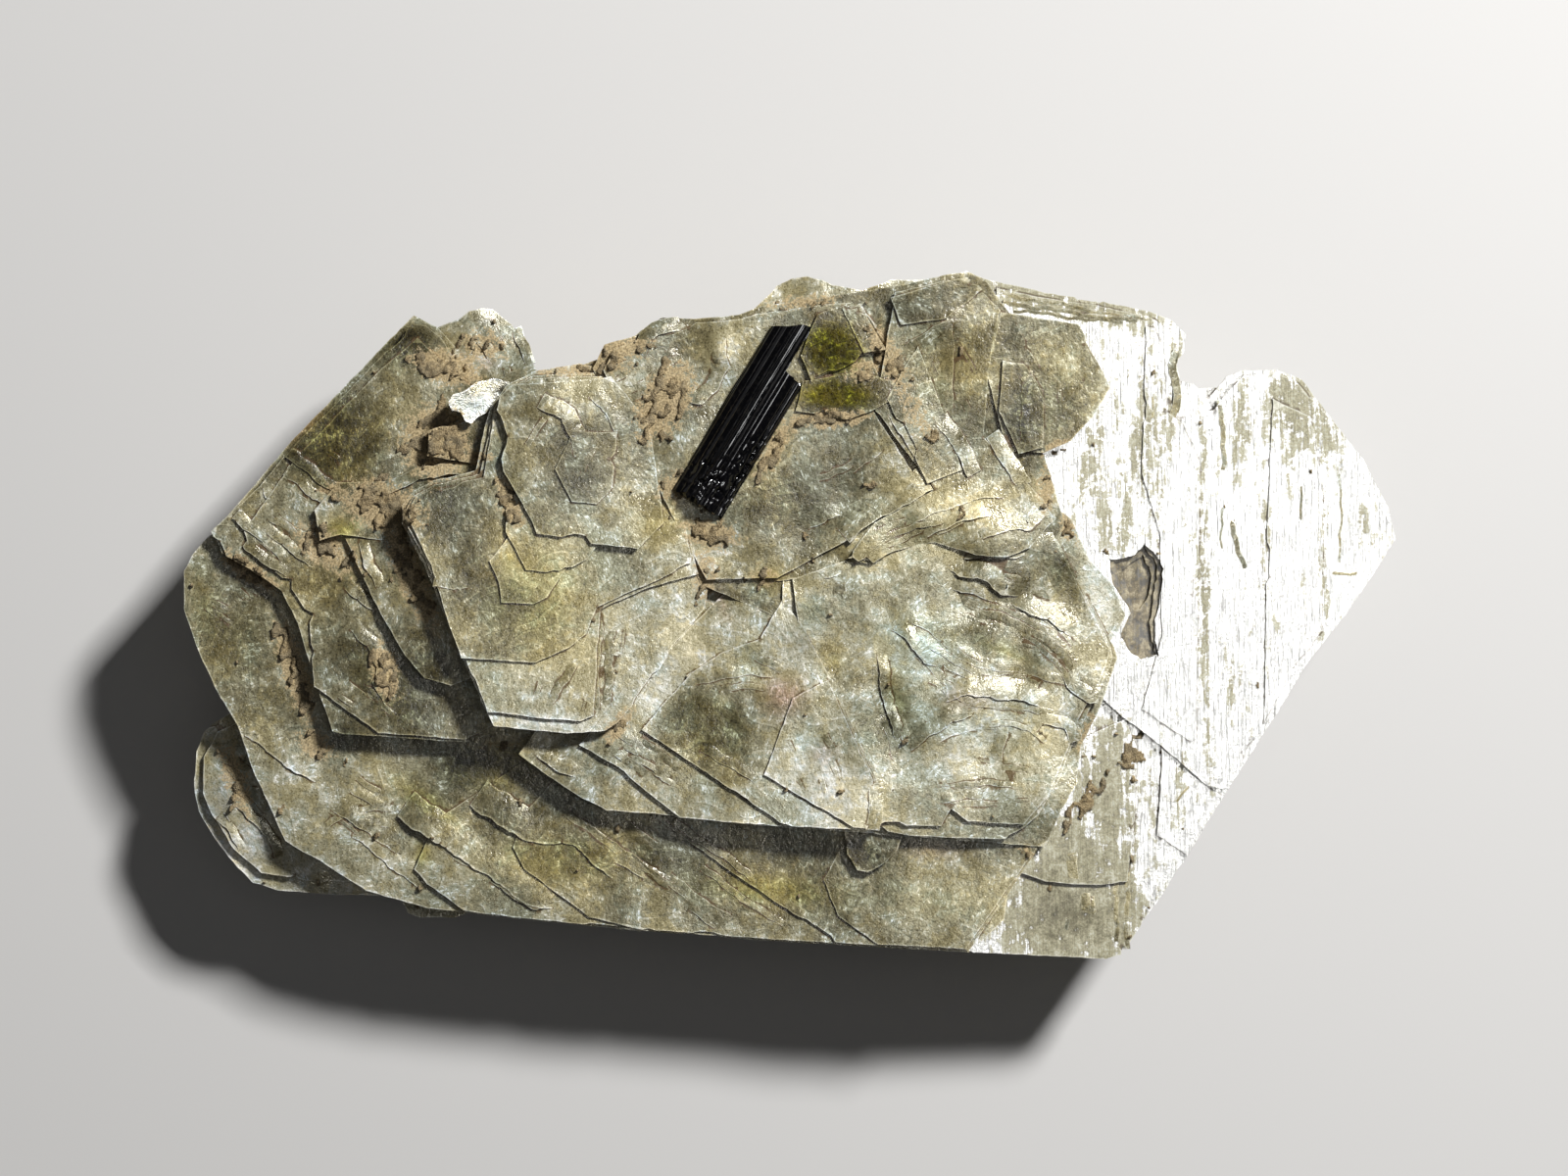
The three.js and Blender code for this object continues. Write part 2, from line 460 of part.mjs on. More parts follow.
function makeTourmaline() {
  const mesh = new THREE.Mesh(toGeometry(tourmalineSolid()), tourmalineMaterial);
  mesh.name = 'tourmaline_crystal';
  mesh.position.copy(prismSeat.position);
  mesh.quaternion.copy(prismSeat.quaternion);
  return mesh;
}

const cluster = new THREE.Group();
cluster.add(makeMica(), makeTourmaline());

export default cluster;
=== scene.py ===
import math
import random

import bmesh
import bpy
import numpy as np
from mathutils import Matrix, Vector
from mathutils.bvhtree import BVHTree
from mathutils.geometry import delaunay_2d_cdt


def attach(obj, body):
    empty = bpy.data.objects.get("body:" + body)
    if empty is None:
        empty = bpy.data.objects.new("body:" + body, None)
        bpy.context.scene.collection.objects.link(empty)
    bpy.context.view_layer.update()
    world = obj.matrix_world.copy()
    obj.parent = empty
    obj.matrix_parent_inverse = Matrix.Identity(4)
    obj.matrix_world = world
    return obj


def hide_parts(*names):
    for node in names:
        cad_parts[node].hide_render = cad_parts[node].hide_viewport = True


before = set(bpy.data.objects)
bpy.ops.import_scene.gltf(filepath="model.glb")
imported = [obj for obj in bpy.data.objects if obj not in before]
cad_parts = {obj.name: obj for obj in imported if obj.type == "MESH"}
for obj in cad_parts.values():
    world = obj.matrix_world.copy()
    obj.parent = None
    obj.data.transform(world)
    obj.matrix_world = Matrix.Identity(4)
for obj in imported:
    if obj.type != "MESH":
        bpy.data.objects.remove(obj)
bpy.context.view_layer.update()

MM = 0.001

FULL_TURN = 2 * math.pi


def places(text):
    """The rows of numbers in a text, parted by commas."""
    return np.array([[float(v) for v in row.split()] for row in text.split(",")])


def table(text):
    """The rows of a text, parted by semicolons: a book, its numbers and, past a colon, a path in plan."""
    rows = []
    for row in text.split(";"):
        start, _, path = row.partition(":")
        book, *numbers = start.split()
        rows.append([book, *map(float, numbers)] + ([places(path)] if path else []))
    return rows


# Each book of mica leaves: a place in plan, its plane's height there and the plane's climb along X and Y, the
# height and length of its slow waves, the same of its fine waves, a dome's curvature, and a seed, all in mm.
BOOKS = {book: numbers for book, *numbers in table("""
    level 0 0 0 0 0 0 20 0 5 0 1;
    base 0 0 15 0 0 0.16 26 0.05 5 0 2;
    second -45 0 16.9 0.015 -0.02 0.14 16 0.05 4 0 3;
    third -36 -6.5 18.9 0.035 -0.063 0.12 10 0.05 3 0 4;
    front -29.5 -10.5 21.62 -0.085 -0.03 0.12 18 0.04 4 0 5;
    lower 7.8 -21 19.8 0.02 -0.055 0.22 11 0.06 3.5 0 6;
    right 12 -12 18.4 -0.05 -0.01 0.22 10 0.07 3.4 0 7;
    upper 10 12 18.7 -0.04 0.01 0.2 10 0.07 3.4 0 8;
    smoky 28 22 17.6 -0.05 0 0.1 14 0.03 4 0 9;
    silver 28 0 15.5 -0.12 0.02 0.07 26 0.025 6 0 10;
    bright -31 21 19.6 -0.2 0.03 0.08 5 0.03 2 0 11;
    rearLeft -52 -20 13 0.05 0.03 0.25 8 0.09 3 0.012 12;
    rearTop -30 25 15.2 0.03 -0.05 0.25 8 0.09 3 0.012 13;
    rearBump 2 29 15.2 0.02 -0.04 0.2 8 0.09 3 0.008 14""")}

# Each leaf: its book, its top above the book's plane, its depth, its tone, and its outline in plan.
LEAVES = {
    "base": table("""
    base -3.6 3.2 0: -37.8 28.4, -45.4 20.6, -56.5 8.4, -58.8 4.4, -58.7 1, -56.2 -7, -53.4 -12.8,
    -49.2 -21.6, -41.6 -26.2, -27 -28.8, 0 -31.2, 18 -32.4, 29 -28, 28 18, 12 28, -16 26, -26 22.5, -35 27;
    base -1.2 2.8 0: -37.4 29.4, -45 21.6, -49.2 17.4, -53.6 12, -57 8.7, -59.7 5, -59.5 0.4, -57.6 -6,
    -55.4 -9.6, -53.7 -14.4, -50.3 -21.8, -42.4 -27.2, -33 -29.4, -15 -31.1, 0 -32, 19 -33.2, 26 -24,
    25 10, 10 28, -16 26.6, -25.4 23.2, -35 28;
    base 0 2.2 0: -37.3 29.7, -40 26.9, -45 21.8, -49.4 17.2, -53.2 12.8, -56.6 8.9, -59.2 6, -60 4.4,
    -60 0.6, -58.4 -4, -56.7 -7.6, -54.7 -10.9, -53 -15.8, -50 -22.3, -46.5 -24.3, -42 -27.2, -36 -28.9,
    -27.5 -29.9, -15 -31.2, 0 -32.3, 17.5 -33.3, 21 -30, 24 -10, 20 10, 4 28, -16 26, -25 23.5, -33 26.5,
    -35 28.5;
    base 0.45 1.2 0: -37.3 -25, -36 -26.5, -32.4 -29.1, -27.4 -29.8, -15 -31.1, 0 -32.2, 17.4 -33.2,
    24.8 -22.6, 20 -10, -20 -10, -35 -20;
    base 0.7 1.2 0: -27.6 -22.8, -26.4 -25, -20 -29.8, -14.8 -31, 0 -32.1, 17.4 -33.1, 24.7 -22.6, 20 -10,
    -20 -12, -26 -19;
    base 1 1.2 0: -13.5 -20, -6.5 -25, 3.6 -31.8, 4.2 -32.3, 17.3 -33, 24.6 -22.6, 20 -10, -10 -12;
    base 1.2 1.2 0: 4.4 -29.6, 8.4 -32.5, 17.2 -32.9, 24.5 -22.6, 20 -12, 6 -20, 3 -26;
    base 2.2 1.6 -0.4: 4.9 -20, 5.3 -23.5, 6.3 -25.2, 7.5 -25.4, 9.3 -24.3, 10.5 -23, 11.4 -20"""),
    "second": table("""
    second 0 2.6 -0.15: -57.2 8.3, -56.2 6, -54 4.9, -50.2 2.4, -48.6 -0.8, -47.4 -5, -45.2 -11.4,
    -44 -11.7, -32 -12.5, -18 -8, -14 10, -24 22, -32 23.5, -34.4 27.4, -36 28.6, -37.4 28.8, -40 26,
    -45 20.8, -49.6 16.2, -52.4 12.8;
    second 0.3 1 -0.15: -47 -7, -45 -8.5, -40.6 -11.6, -32 -12.3, -20 -6, -24 18, -32 23, -36.8 27.4,
    -40.4 24.4, -44.8 19.8, -49 15.4, -51.6 11.6, -54 8.4, -53.4 6.2, -49.6 3.2, -47.6 0;
    second 1.2 1.6 -0.15: -46.4 7.2, -44.2 7.8, -38 7, -30 6, -29 14, -38 13.4, -44.6 13.2, -47 10.4;
    second 1.7 2 -0.5: -35.7 18.2, -35.8 15.6, -30 14.6, -28 16, -28 21, -33 19.2;
    third 0 3 -0.1: -44.1 8, -42.3 4, -40.4 0.2, -38 -4, -36 -6.2, -33.4 -6.9, -28 -5, -28 10, -37 12,
    -41 11"""),
    "front": table("""
    front -2.4 4.4 0.1: -37.4 10.2, -35.3 4.6, -31.3 -4.8, -28.7 -10.3, -22 -11, -18 -10.8, -12 -4.4,
    -7.6 0.8, -7 6, -10 14, -17 24.2, -21 24.6, -25.6 23.8, -29.8 18, -31 13.4;
    front -0.8 1.9 0.45: -38.2 10.8, -38.2 9, -36 4.9, -34 0, -31.9 -5, -29.9 -9.5, -29.2 -10.9, -25 -11.3,
    -22 -11.6, -18.2 -11.4, -17 -10.6, -15 -8.4, -12.5 -4.7, -10.2 -1.5, -8.4 0.7, -7.6 6, -10.6 13,
    -13 19.5, -17.3 24, -20.8 24.8, -25.2 24.1, -28 22.6, -29.6 20.5, -30.5 17, -31 14.3, -35 13.3,
    -37 12.3;
    front -0.35 1 0.1: -37.8 10.5, -37.8 9, -35.7 4.9, -33.7 0, -30.2 -8.8, -29.8 -9.5, -24 -10.2,
    -20.6 -10.5, -19.2 -9.9, -18.9 -5, -18.6 0.5, -14 2.6, -9 4, -10.8 12, -13.4 19.3, -17.4 23.8,
    -20.2 24, -25.4 23.6, -28 22.3, -29.3 20.3, -30 17, -30.6 14, -35 12.9, -37 11.9;
    front 0 1 0.1: -33.5 -1, -32.3 -4.2, -25 -4.7, -21.6 -3.2, -20 -1.8, -19 0.8, -13 3.4, -9.6 5, -11 12,
    -13.6 19.2, -17.5 23.6, -25.5 23.3, -28 22, -29.2 20, -29.6 17, -30.2 13.6, -35 12.6, -36.8 11.7,
    -37.5 10.3, -37.4 9.2, -35.3 4.9;
    front 0.25 0.8 0.1: -29.7 5.4, -28.7 3.2, -28.4 1.2, -25.2 1, -23.8 1.7, -22.5 3.6, -20 8, -27 9;
    front 0.5 1 0.1: -28 10.4, -28 8.2, -26 4.4, -22.6 4, -20 5.4, -18 8, -24 12;
    front 0.9 1.4 0.1: -28.9 20, -28 17.5, -28.4 15.3, -28.2 14, -25.7 9.6, -25 7.9, -22.5 7.6, -21.3 7.9,
    -20.2 7.7, -19.7 6.9, -15 6.4, -12.4 9, -13.8 19, -17.6 23.5, -20 23.2, -27.3 22.7, -28.6 21.5;
    front 1.15 0.8 0.1: -23.2 14.3, -21.5 11.1, -19 10.8, -17.4 12.5, -17 18, -21.4 18;
    bright 0 1.6 1.6: -33.7 20.8, -33.2 21.7, -31.9 22.2, -31 22.9, -29.2 23.4, -27.2 23, -26.6 22.2,
    -27 20.9, -26.7 19.6, -28.2 19.2, -29.8 19.8, -30.6 19.4, -31.3 18.6, -32 18.9, -32.5 19.8, -33.3 20;
    front -3 1.6 1: -16.8 -9, -14.8 -9.3, -12.8 -7.2, -9.8 -7.4, -9.6 -4.6, -7 -2, -6 2, -14 0"""),
    "lower": table("""
    lower -2.2 2.4 0.12: -25.4 -13.4, -20 -17.2, -12 -18.8, 0 -20, 7.2 -20.6, 8 -16, 4 -6, -1 2.4, -8 2,
    -18 -8;
    lower -0.9 1.6 0.12: -26.9 -13.6, -24 -15.8, -20.6 -18, -18.2 -19.2, -12.5 -19.6, -10.5 -20, 0 -20.9,
    7.9 -21.4, 8.7 -20.4, 8.9 -16, 7 -12.2, 4.4 -6.2, 1.2 -0.4, -1 3.2, -6 3, -12 -3, -18 -9, -25 -11;
    lower -0.4 1 0.12: -21 -12.7, -17 -15, -14 -17.6, -11 -19.9, 0 -20.8, 7.7 -21.2, 8.4 -20.3, 8.5 -16,
    6.7 -12.2, 4.1 -6.2, 1 -0.4, -1 2.8, -6 3, -12 -3, -18 -9;
    lower 0 1 0.12: -14.8 -11.2, -9.5 -14.7, -5 -17.7, -1.2 -20.3, 0 -20.7, 7.5 -21, 8.1 -20.2, 8.2 -16,
    6.4 -12.1, 3.9 -6.2, 0.8 -0.4, -1 1.6, -3.2 -2.2, -7 -3.6, -10 -5.6, -13 -9;
    lower 0.3 0.8 0.5: -2.8 -15.6, 0.2 -17.4, 3 -19, 6 -20.8, 7.4 -20.9, 7.9 -20.1, 8 -16, 6.2 -12,
    3.6 -6.2, 0 -8;
    lower -0.9 2.4 0.12: -13 -3, -9 -6, -3 -3, 0 2, -2 6, -8 7, -12 3"""),
    "right": table("""
    right -2.4 3 0.1: 8 -20.6, 23.6 -21.8, 27 -15.6, 30.4 -6, 30.4 -3, 25 8, 10 8, 4 -10;
    right -1.2 1.6 0.1: 7 -21.3, 8.5 -21.6, 25 -22.9, 26.5 -19.5, 28.2 -16.5, 28.5 -13, 30.5 -9, 32.2 -4.2,
    31.9 -3.2, 30 0.4, 28 4.3, 26 8, 15 8, 5 0, 5 -15;
    right -0.5 1.2 0.1: 8 -21, 11.5 -21.7, 21 -22.1, 22.6 -21.2, 24.3 -19.6, 26.4 -16, 28.2 -11.5,
    30.2 -7.6, 31.7 -4.2, 31.6 -3.2, 29.7 0.5, 27.8 4.3, 25.8 8.2, 15 9, -1 4, -1 -2, 4 -15;
    right 0 1 0.1: 7 -20.5, 14.7 -20.7, 15.6 -19, 17.2 -20.2, 22.8 -20.6, 25.2 -17.8, 27.8 -11.6, 30 -7.4,
    31.2 -4, 31.3 -3.2, 29.4 0.6, 27.5 4.4, 25.6 8.2, 15 9, 0 3.6, 0.6 -1.6, 5 -12;
    silver 0.5 2 0.5: 24 12, 27.6 9.6, 29.4 5.6, 31.8 3, 33 0, 32.2 -1.8, 31 -3, 24 0"""),
    "upper": table("""
    upper -0.6 5.4 -0.24: -19.6 24.2, -18.4 26.6, -15.3 27.5, -14.5 28.2, -12.8 29.3, -9.5 29.2, -5.2 29.5,
    -3 30.4, 5 31.6, 10 32.4, 15 33.5, 17.4 33.8, 19 33, 20.5 31, 22 29, 24.5 24, 24.8 16, 26 12, 26.8 9,
    26 7.5, 24 0, 5 -2, -2 0, -9 3, -12 10;
    upper 0 1.2 -0.24: -18.6 24, -17.4 26.2, -15.2 27.1, -12.8 28.9, -9.4 28.8, -5.2 29.1, -3.5 29.6,
    3 30.6, 6 30.8, 9.4 21.4, 8 20.2, 13 12.6, 5 7, -1.4 3.6, -8.4 3.4, -12 10;
    upper 0.15 1.2 -0.24: 5 5.4, 8 5, 10 6.2, 14 7, 18 5.8, 21 5.6, 23.5 6.5, 24.6 8, 26 9.4, 24.8 11.4,
    21.8 14.6, 19 17.6, 19.4 24, 20.6 30, 18 32.6, 15 33, 10 31.8, 8 20, 13.8 12.4, 8 9.2;
    upper 0.45 1 -0.24: 9.2 21.2, 13.2 12.8, 16.8 14.2, 15 20, 12.4 26.6, 10.6 24;
    upper 0.4 1 -0.24: 10.6 28.4, 15.2 29, 18.8 32, 17.2 33.2, 15 32.8, 9.6 31.2;
    upper 0.6 1.4 -0.35: 0.8 25.4, 1.9 22.7, 6.3 24.8, 7.4 26.4, 5.4 30.6, 2.4 29.6;
    upper 0.75 0.9 -0.3: 4.5 30.6, 7 25.6, 9.3 26, 6.7 30.7;
    upper 0.35 1.2 -0.35: 0.3 20, 3 19.6, 5.4 19.1, 8 20, 9.6 20.9, 10.2 23, 6.4 24, 1 23;
    smoky 0 2.6 -0.15: 20.4 29.9, 28.2 28.7, 30.2 25, 31.4 22.4, 29.6 19.4, 27.4 17.1, 24.8 15.9, 21 16,
    19 24;
    smoky 0.4 1 -0.15: 20.6 25.1, 23.4 24.7, 24.9 22, 24.7 16.4, 22.2 15.8, 20.2 20"""),
    "silver": table("""
    silver -2.8 2.6 0: 18 -32.6, 31 -33, 37.6 -24.6, 47 -9.6, 57 4.2, 58.6 7.8, 55.6 15, 49.8 22.6,
    43.6 22.8, 37.6 22.4, 37.6 27.6, 30 30.6, 18.6 32.8, 12 28, 14 0, 16 -24;
    silver -0.9 2.4 0: 16.5 -33.2, 25 -33.7, 31 -34, 32.6 -33.6, 38.5 -25, 43 -17.6, 48 -10, 51 -5, 55 0,
    58 4.4, 60 7.6, 59.4 10.6, 56.7 15.5, 53 20.3, 50.6 23.4, 48 24.4, 44.5 24.3, 43 23.7, 41.2 21.6,
    39.7 22.9, 38.4 23.2, 38 25, 38.9 26, 39 27.8, 37.6 29.2, 35.5 30, 30 31.2, 25 31.9, 19 33.2, 17.2 34,
    14 33, 12 28, 16 0, 17 -20;
    silver -0.45 1 0: 21.6 -25.2, 25 -26.4, 30.4 -26.8, 33.2 -26.4, 34 -21, 34.2 -13, 33 -10, 24 -14;
    silver -0.5 1 0: 36 -21.8, 39.1 -23.8, 42.7 -17.8, 41 -16.4, 36.5 -13;
    silver -0.5 1 0: 20 32.4, 25 31.4, 30 30.7, 35.4 29.6, 37.6 28.2, 38 26.2, 37.6 24, 38.6 21, 32 18,
    20 28;
    silver 0 1.4 0: 33 -10.4, 37 -13.4, 41 -16.9, 42.8 -17.3, 47.6 -9.8, 50.6 -4.8, 54.6 0.2, 57.6 4.6,
    59.6 7.7, 59 10.5, 56.3 15.4, 52.7 20.2, 50.3 23.1, 48 24, 44.6 23.8, 43 22.2, 41.6 20.4, 38.5 19.6,
    37.5 21, 37.7 23, 37.3 24.4, 37.6 25.6, 37.2 27.4, 36.2 29, 30 29.8, 20 30.8, 18 24, 18 0, 28 -6;
    silver 0.25 0.8 0: 34.4 -9.3, 39.4 -12.6, 40 -12.2, 40.2 2, 40.4 15, 38.4 19.2, 37 20.2, 36.8 26,
    35.8 28.4, 34.8 28.6, 34.4 14, 36.2 8, 36.4 -2;
    silver 0.22 0.8 0: 46.6 -10.9, 49.8 -5.4, 52.6 -1.6, 52.7 12, 51.4 19.8, 47.4 21.6, 46.8 8"""),
    "rear": table("""
    rearLeft -2.2 3.4 0.3: -56.4 -10, -57.4 -14, -57.4 -18, -54 -24, -50 -26.2, -42 -26.6, -36 -26.6,
    -34 -18, -46 -6;
    rearLeft -0.7 2.2 0.3: -57.3 -10.5, -58.5 -11.5, -59.2 -13.5, -59.4 -17, -59 -19.5, -57.5 -22,
    -55.5 -24.5, -53.5 -26.6, -51 -27.4, -46 -27.8, -40 -28, -36 -26.6, -40 -12, -50 -6;
    rearLeft 0 1.2 0.3: -57 -11.4, -58.4 -14, -58.4 -17.6, -57.6 -20, -55.4 -23.2, -52.6 -25.6, -48 -26.4,
    -42 -26.6, -40 -14, -50 -8;
    level 10.4 2.2 0.2: -38.7 -28.6, -38.2 -29.6, -37 -30.1, -33.5 -30.1, -32 -29.5, -31 -24, -38 -24;
    rearTop -1.4 4.4 0.2: -34.4 27.4, -31.4 29, -29.4 29, -27.4 27.4, -25.6 24, -24 18, -36 18;
    rearTop 0 1.8 0.2: -35.2 28.4, -33 29.3, -31.9 30.1, -30.6 30.4, -29.5 30.3, -27.6 28.8, -26 26.4,
    -25 24, -24 18, -36 18;
    rearBump -1.6 4.6 0.1: -9 27.4, -2.2 31, 0 32.2, 1.6 32.4, 4 31.6, 9.6 32, 14 32, 14 20, -9 20;
    rearBump 0 1.8 0.1: -4.2 30, -2.6 31.4, -1.5 32.6, 0 33.3, 1.5 33.5, 3 33.2, 4 32.7, 7 32.2, 9.8 33.2,
    12 33.2, 15.4 33.4, 16 24, -6 24"""),
}

# Edges of leaves that fade out behind: book, height, fade length and a path, whose left side is higher.
LIPS = table("""
    base 0.22 3: -54.2 -11.7, -51.4 -13.6, -48.7 -15.6, -46.8 -16.6;
    base 0.3 3: -38.9 -19.8, -35.3 -22.3, -32.8 -23.7, -28.7 -26.6, -26.2 -28.4, -23.4 -29.1;
    base 0.22 3: -31.7 -18.7, -27.8 -21.4, -25 -22.4, -21.5 -22.6, -17.5 -26.1;
    base 0.25 2: -30 -26.1, -27.2 -27.8, -25.6 -28.9, -23.6 -29;
    base 0.16 2: -45.4 -19, -41.2 -22, -38.2 -23.8;
    base 0.14 2: -43.6 -21.6, -40 -24.4, -36.2 -27.4;
    second 0.2 2: -52.1 12.8, -51.9 11.8, -50.4 10.6;
    second 0.16 1.2: -49.8 15.6, -47 13.4, -44.4 11.8;
    second 0.14 1.2: -49.4 13.4, -46.8 11.4, -44.8 10.2;
    second 0.14 1.2: -55 9.6, -52 7.1, -49.5 4.6;
    second 0.18 1.2: -52.6 8.8, -49.6 6.4, -46.8 4.6;
    second 0.16 1.2: -54 6.8, -51.4 4.8, -49.4 3.6;
    second 0.2 1.5: -43.6 -1.2, -41.6 -3, -40.8 -5.2, -41.2 -6.6, -39.6 -9;
    second 0.16 1.4: -44.2 2.8, -41.8 1, -39.4 -0.6;
    third 0.2 1.2: -42.4 7.4, -41.9 4.8, -40.8 2.6;
    second 0.4 1.2: -41 11.8, -38.6 12.3, -36.6 13.2, -33.6 13.9, -30 14;
    front 0.1 2: -35 3, -33 2.6, -31 2.6;
    front 0.12 1.2: -18.9 -9.6, -18.8 -4.6, -18.5 0.4;
    front 0.1 1: -17.7 -9.2, -17.6 -5, -17.2 -1;
    front 0.12 1: -23.4 -9, -22 -6.6, -20.7 -4.4;
    front 0.12 1.5: -18.7 -3.6, -16.8 -3.8, -16.4 -2.4;
    front 0.2 1.6: -24.8 20.4, -22.6 19.2, -21.4 16.8, -20.8 14.6;
    front 0.16 1.6: -20 21.8, -17.8 19, -16.8 16.6;
    lower 0.25 1.6: -25.2 -13.4, -23.2 -15.2, -21 -16.2;
    lower 0.14 1.2: -9.4 -12.8, -6.6 -14.6, -3.4 -16.6;
    lower 0.16 1.4: 7.4 -16.4, 7.5 -18.6, 7.3 -20.9;
    right 0.3 2: 14.8 -8.4, 17 -7.8, 20 -8.2, 22.8 -8.2, 24.6 -9.3;
    right 0.3 1.6: 26.4 -5.6, 27.4 -7.4, 29 -8.6, 30 -8.8;
    right 0.25 1.6: 11.6 -13.6, 13.6 -11.8, 15.8 -10.4, 18 -9.8;
    right 0.22 1.4: 23.4 -12, 24.4 -10.6, 26.6 -11, 27.2 -12.6;
    right 0.3 2: 21.4 1.4, 23 0.2, 25.4 -0.6, 27.6 -2.2;
    right 0.25 1.5: 9.6 -1.2, 11.4 -2.4, 12.8 -4.6, 14.4 -5.2;
    right 0.2 1.4: 20.6 -14.6, 20.8 -12.4, 21.4 -10.8;
    right 0.35 1.2: 8.3 -3.6, 8.6 -6.4, 9.2 -9, 10.1 -12.4;
    upper 0.4 2.5: -2 3.5, 0.7 3.6, 3.2 3.6, 5.1 4.3;
    upper 0.35 2.5: 5.1 5.3, 7.6 5, 10.1 6, 12.1 6.5, 16.8 6.8;
    upper 0.3 2.5: 5.6 7.2, 7.6 8.9, 10 10.3, 13.9 12.3;
    upper 0.5 2: 12.9 4.3, 15.1 4.9, 16.5 3.6, 18.2 3.7, 19.3 3.3, 20.7 1.9, 22.6 1.9;
    upper 0.35 2: 15.1 5.1, 16.8 5.6, 21.8 5.6, 23.6 6.6;
    upper 0.25 2: 12.9 7.7, 16 8.9, 19.4 9.9;
    upper 0.2 2: 11.4 8.6, 14.4 10.2, 18 11.4, 21 11.6;
    upper 0.2 1.6: 1.4 8.2, 3.4 9.4, 5 10;
    upper 0.25 2: 18.4 7.6, 21 8.2, 23.4 8.4, 25 10;
    upper 0.16 1.5: 9.4 19.9, 11.4 16.4, 13.2 13;
    upper 0.16 1.5: 14 19.1, 15.8 16.4, 17.3 13.6;
    upper 0.16 1.5: 19 17.4, 20.8 14.8, 22.1 12.4;
    upper 0.3 0.35: 9.6 25.7, 8.2 28.4, 6.9 30.7;
    upper 0.14 1.6: 15.9 19.9, 15.8 24, 15.8 29.4;
    upper 0.2 1.4: 15.9 29.4, 13 27.6, 10.9 26.6;
    upper 0.3 1.6: -10.6 20.8, -8.6 20.6, -7.4 22, -6.2 24.4, -6.4 27.4;
    upper 0.4 1.4: -14.6 25.2, -13.2 27.4, -10.8 28;
    smoky 0.12 1.2: 22.4 24, 22.6 20, 22.4 16.8;
    silver 0.1 0.6: 43.2 9.8, 43.8 6.8, 44.6 4;
    silver 0.12 0.6: 41.8 21.2, 42.4 18.4, 42.5 16.2, 42.3 14;
    silver 0.08 0.4: 53 4.1, 54.6 4.1, 56.5 4;
    silver 0.12 0.6: 33.3 -33, 33.4 -29, 33.2 -25;
    silver 0.12 0.6: 32.3 -32.6, 32.3 -28.6, 32.4 -26;
    silver 0.14 0.5: 35.4 29.2, 29 30.3, 20.4 31.9;
    silver 0.14 0.5: 34.4 29.1, 28 29.9, 20.8 31;
    silver 0.12 0.4: 33 28.9, 27.6 29.5, 21.4 30.2;
    silver 0.16 0.8: 37.5 26.2, 37.2 24.3, 37.6 22.3, 37.3 20.1, 36.8 17.6;
    rearLeft 0.25 1.2: -56.8 -14.4, -55 -15, -53.6 -16.8;
    rearLeft 0.25 1.2: -55.6 -18.6, -54 -19.6, -52.2 -21.8, -51 -24.2;
    rearLeft 0.2 1: -57.2 -20, -55.8 -21.4, -54.6 -23.6;
    rearTop 0.25 1.2: -33 24.6, -31.4 26.2, -30.8 28.4;
    rearTop 0.2 1: -27.6 28.2, -26.8 26.4, -26.2 24.6""")

# Families of fine parallel lines: book, centre, spread along and across, heading in degrees, count, height.
LINE_FAMILIES = table("""
    base -8 -27 15 3.6 -35 26 0.13; base -38 -20 9 5 -35 16 0.1; base -56 -1 3 7 -40 14 0.1;
    second -46 12 5 6 -37 22 0.1; second -51 6 3 3 -37 12 0.1; second -42 -9 4 2 -35 6 0.1;
    front -22 -4 6 5 78 8 0.05; front -24 15 5 6 62 8 0.06; lower -14 -15 6 3 -35 14 0.12;
    lower 3 -14 4 5 116 7 0.06; right 18 -17 7 3 -4 8 0.05; right 20 -3 6 4 -22 8 0.05;
    upper 12 22 6 8 -60 12 0.07; upper 12 9 7 3 24 16 0.1; upper -14 24 4 2 30 8 0.1;
    smoky 26 23 3 5 90 8 0.06; rearLeft -55 -19 4 5 -45 14 0.14; rearTop -29 26 4 3 120 12 0.14;
    silver 48 3 12 16 90 7 0.03; silver 33 20 5 10 91 12 0.04; silver 28 -28 5 5 88 12 0.08;
    silver 38 -14 4 8 58 5 0.06""")

# Ripples of fine curved edges: book, count, gap, height and path.
FLOWS = table("""
    upper 12 0.5 0.17: 4.5 5.4, 8 5.8, 12 7, 16 8, 20 7.4, 23.6 5;
    upper 8 0.6 0.14: 2 8.4, 6 9.4, 10 11, 14 12.8, 18.6 13.4;
    upper 6 0.6 0.1: 1.4 12, 5 13.4, 9 15.6, 12 18.6;
    upper 6 0.5 0.12: 13 4.4, 16 4.4, 19.4 3.4, 22.6 2.4;
    right 8 0.6 0.09: 10 -1, 13 -2.6, 15.6 -5, 19 -6.8, 23 -6.6, 27.4 -8;
    right 6 0.7 0.07: 11.6 -14, 14 -11.4, 18 -9.6, 22.6 -10, 27 -13;
    right 4 0.5 0.07: 8.2 -4, 8.8 -8, 10.6 -12.4, 11 -15;
    right 6 0.6 0.08: 17 1.6, 21.4 0.6, 25.6 -1.6, 29 -5;
    right 4 0.7 0.06: 13 -17.4, 17 -16.4, 21.6 -16.6, 25 -18;
    lower 6 0.6 0.09: -11 -8, -6 -6.4, -1 -7, 4 -11;
    lower 5 0.6 0.08: -4 -2, -1.6 -4, 1.6 -5.4, 5 -5;
    front 6 0.7 0.06: -27 9, -23 8, -19 9.4, -15 12;
    front 5 0.7 0.06: -20 19, -16 17, -13 13, -13 9;
    base 6 0.7 0.12: -48 -24, -44 -21, -40 -20.4, -35 -21""")

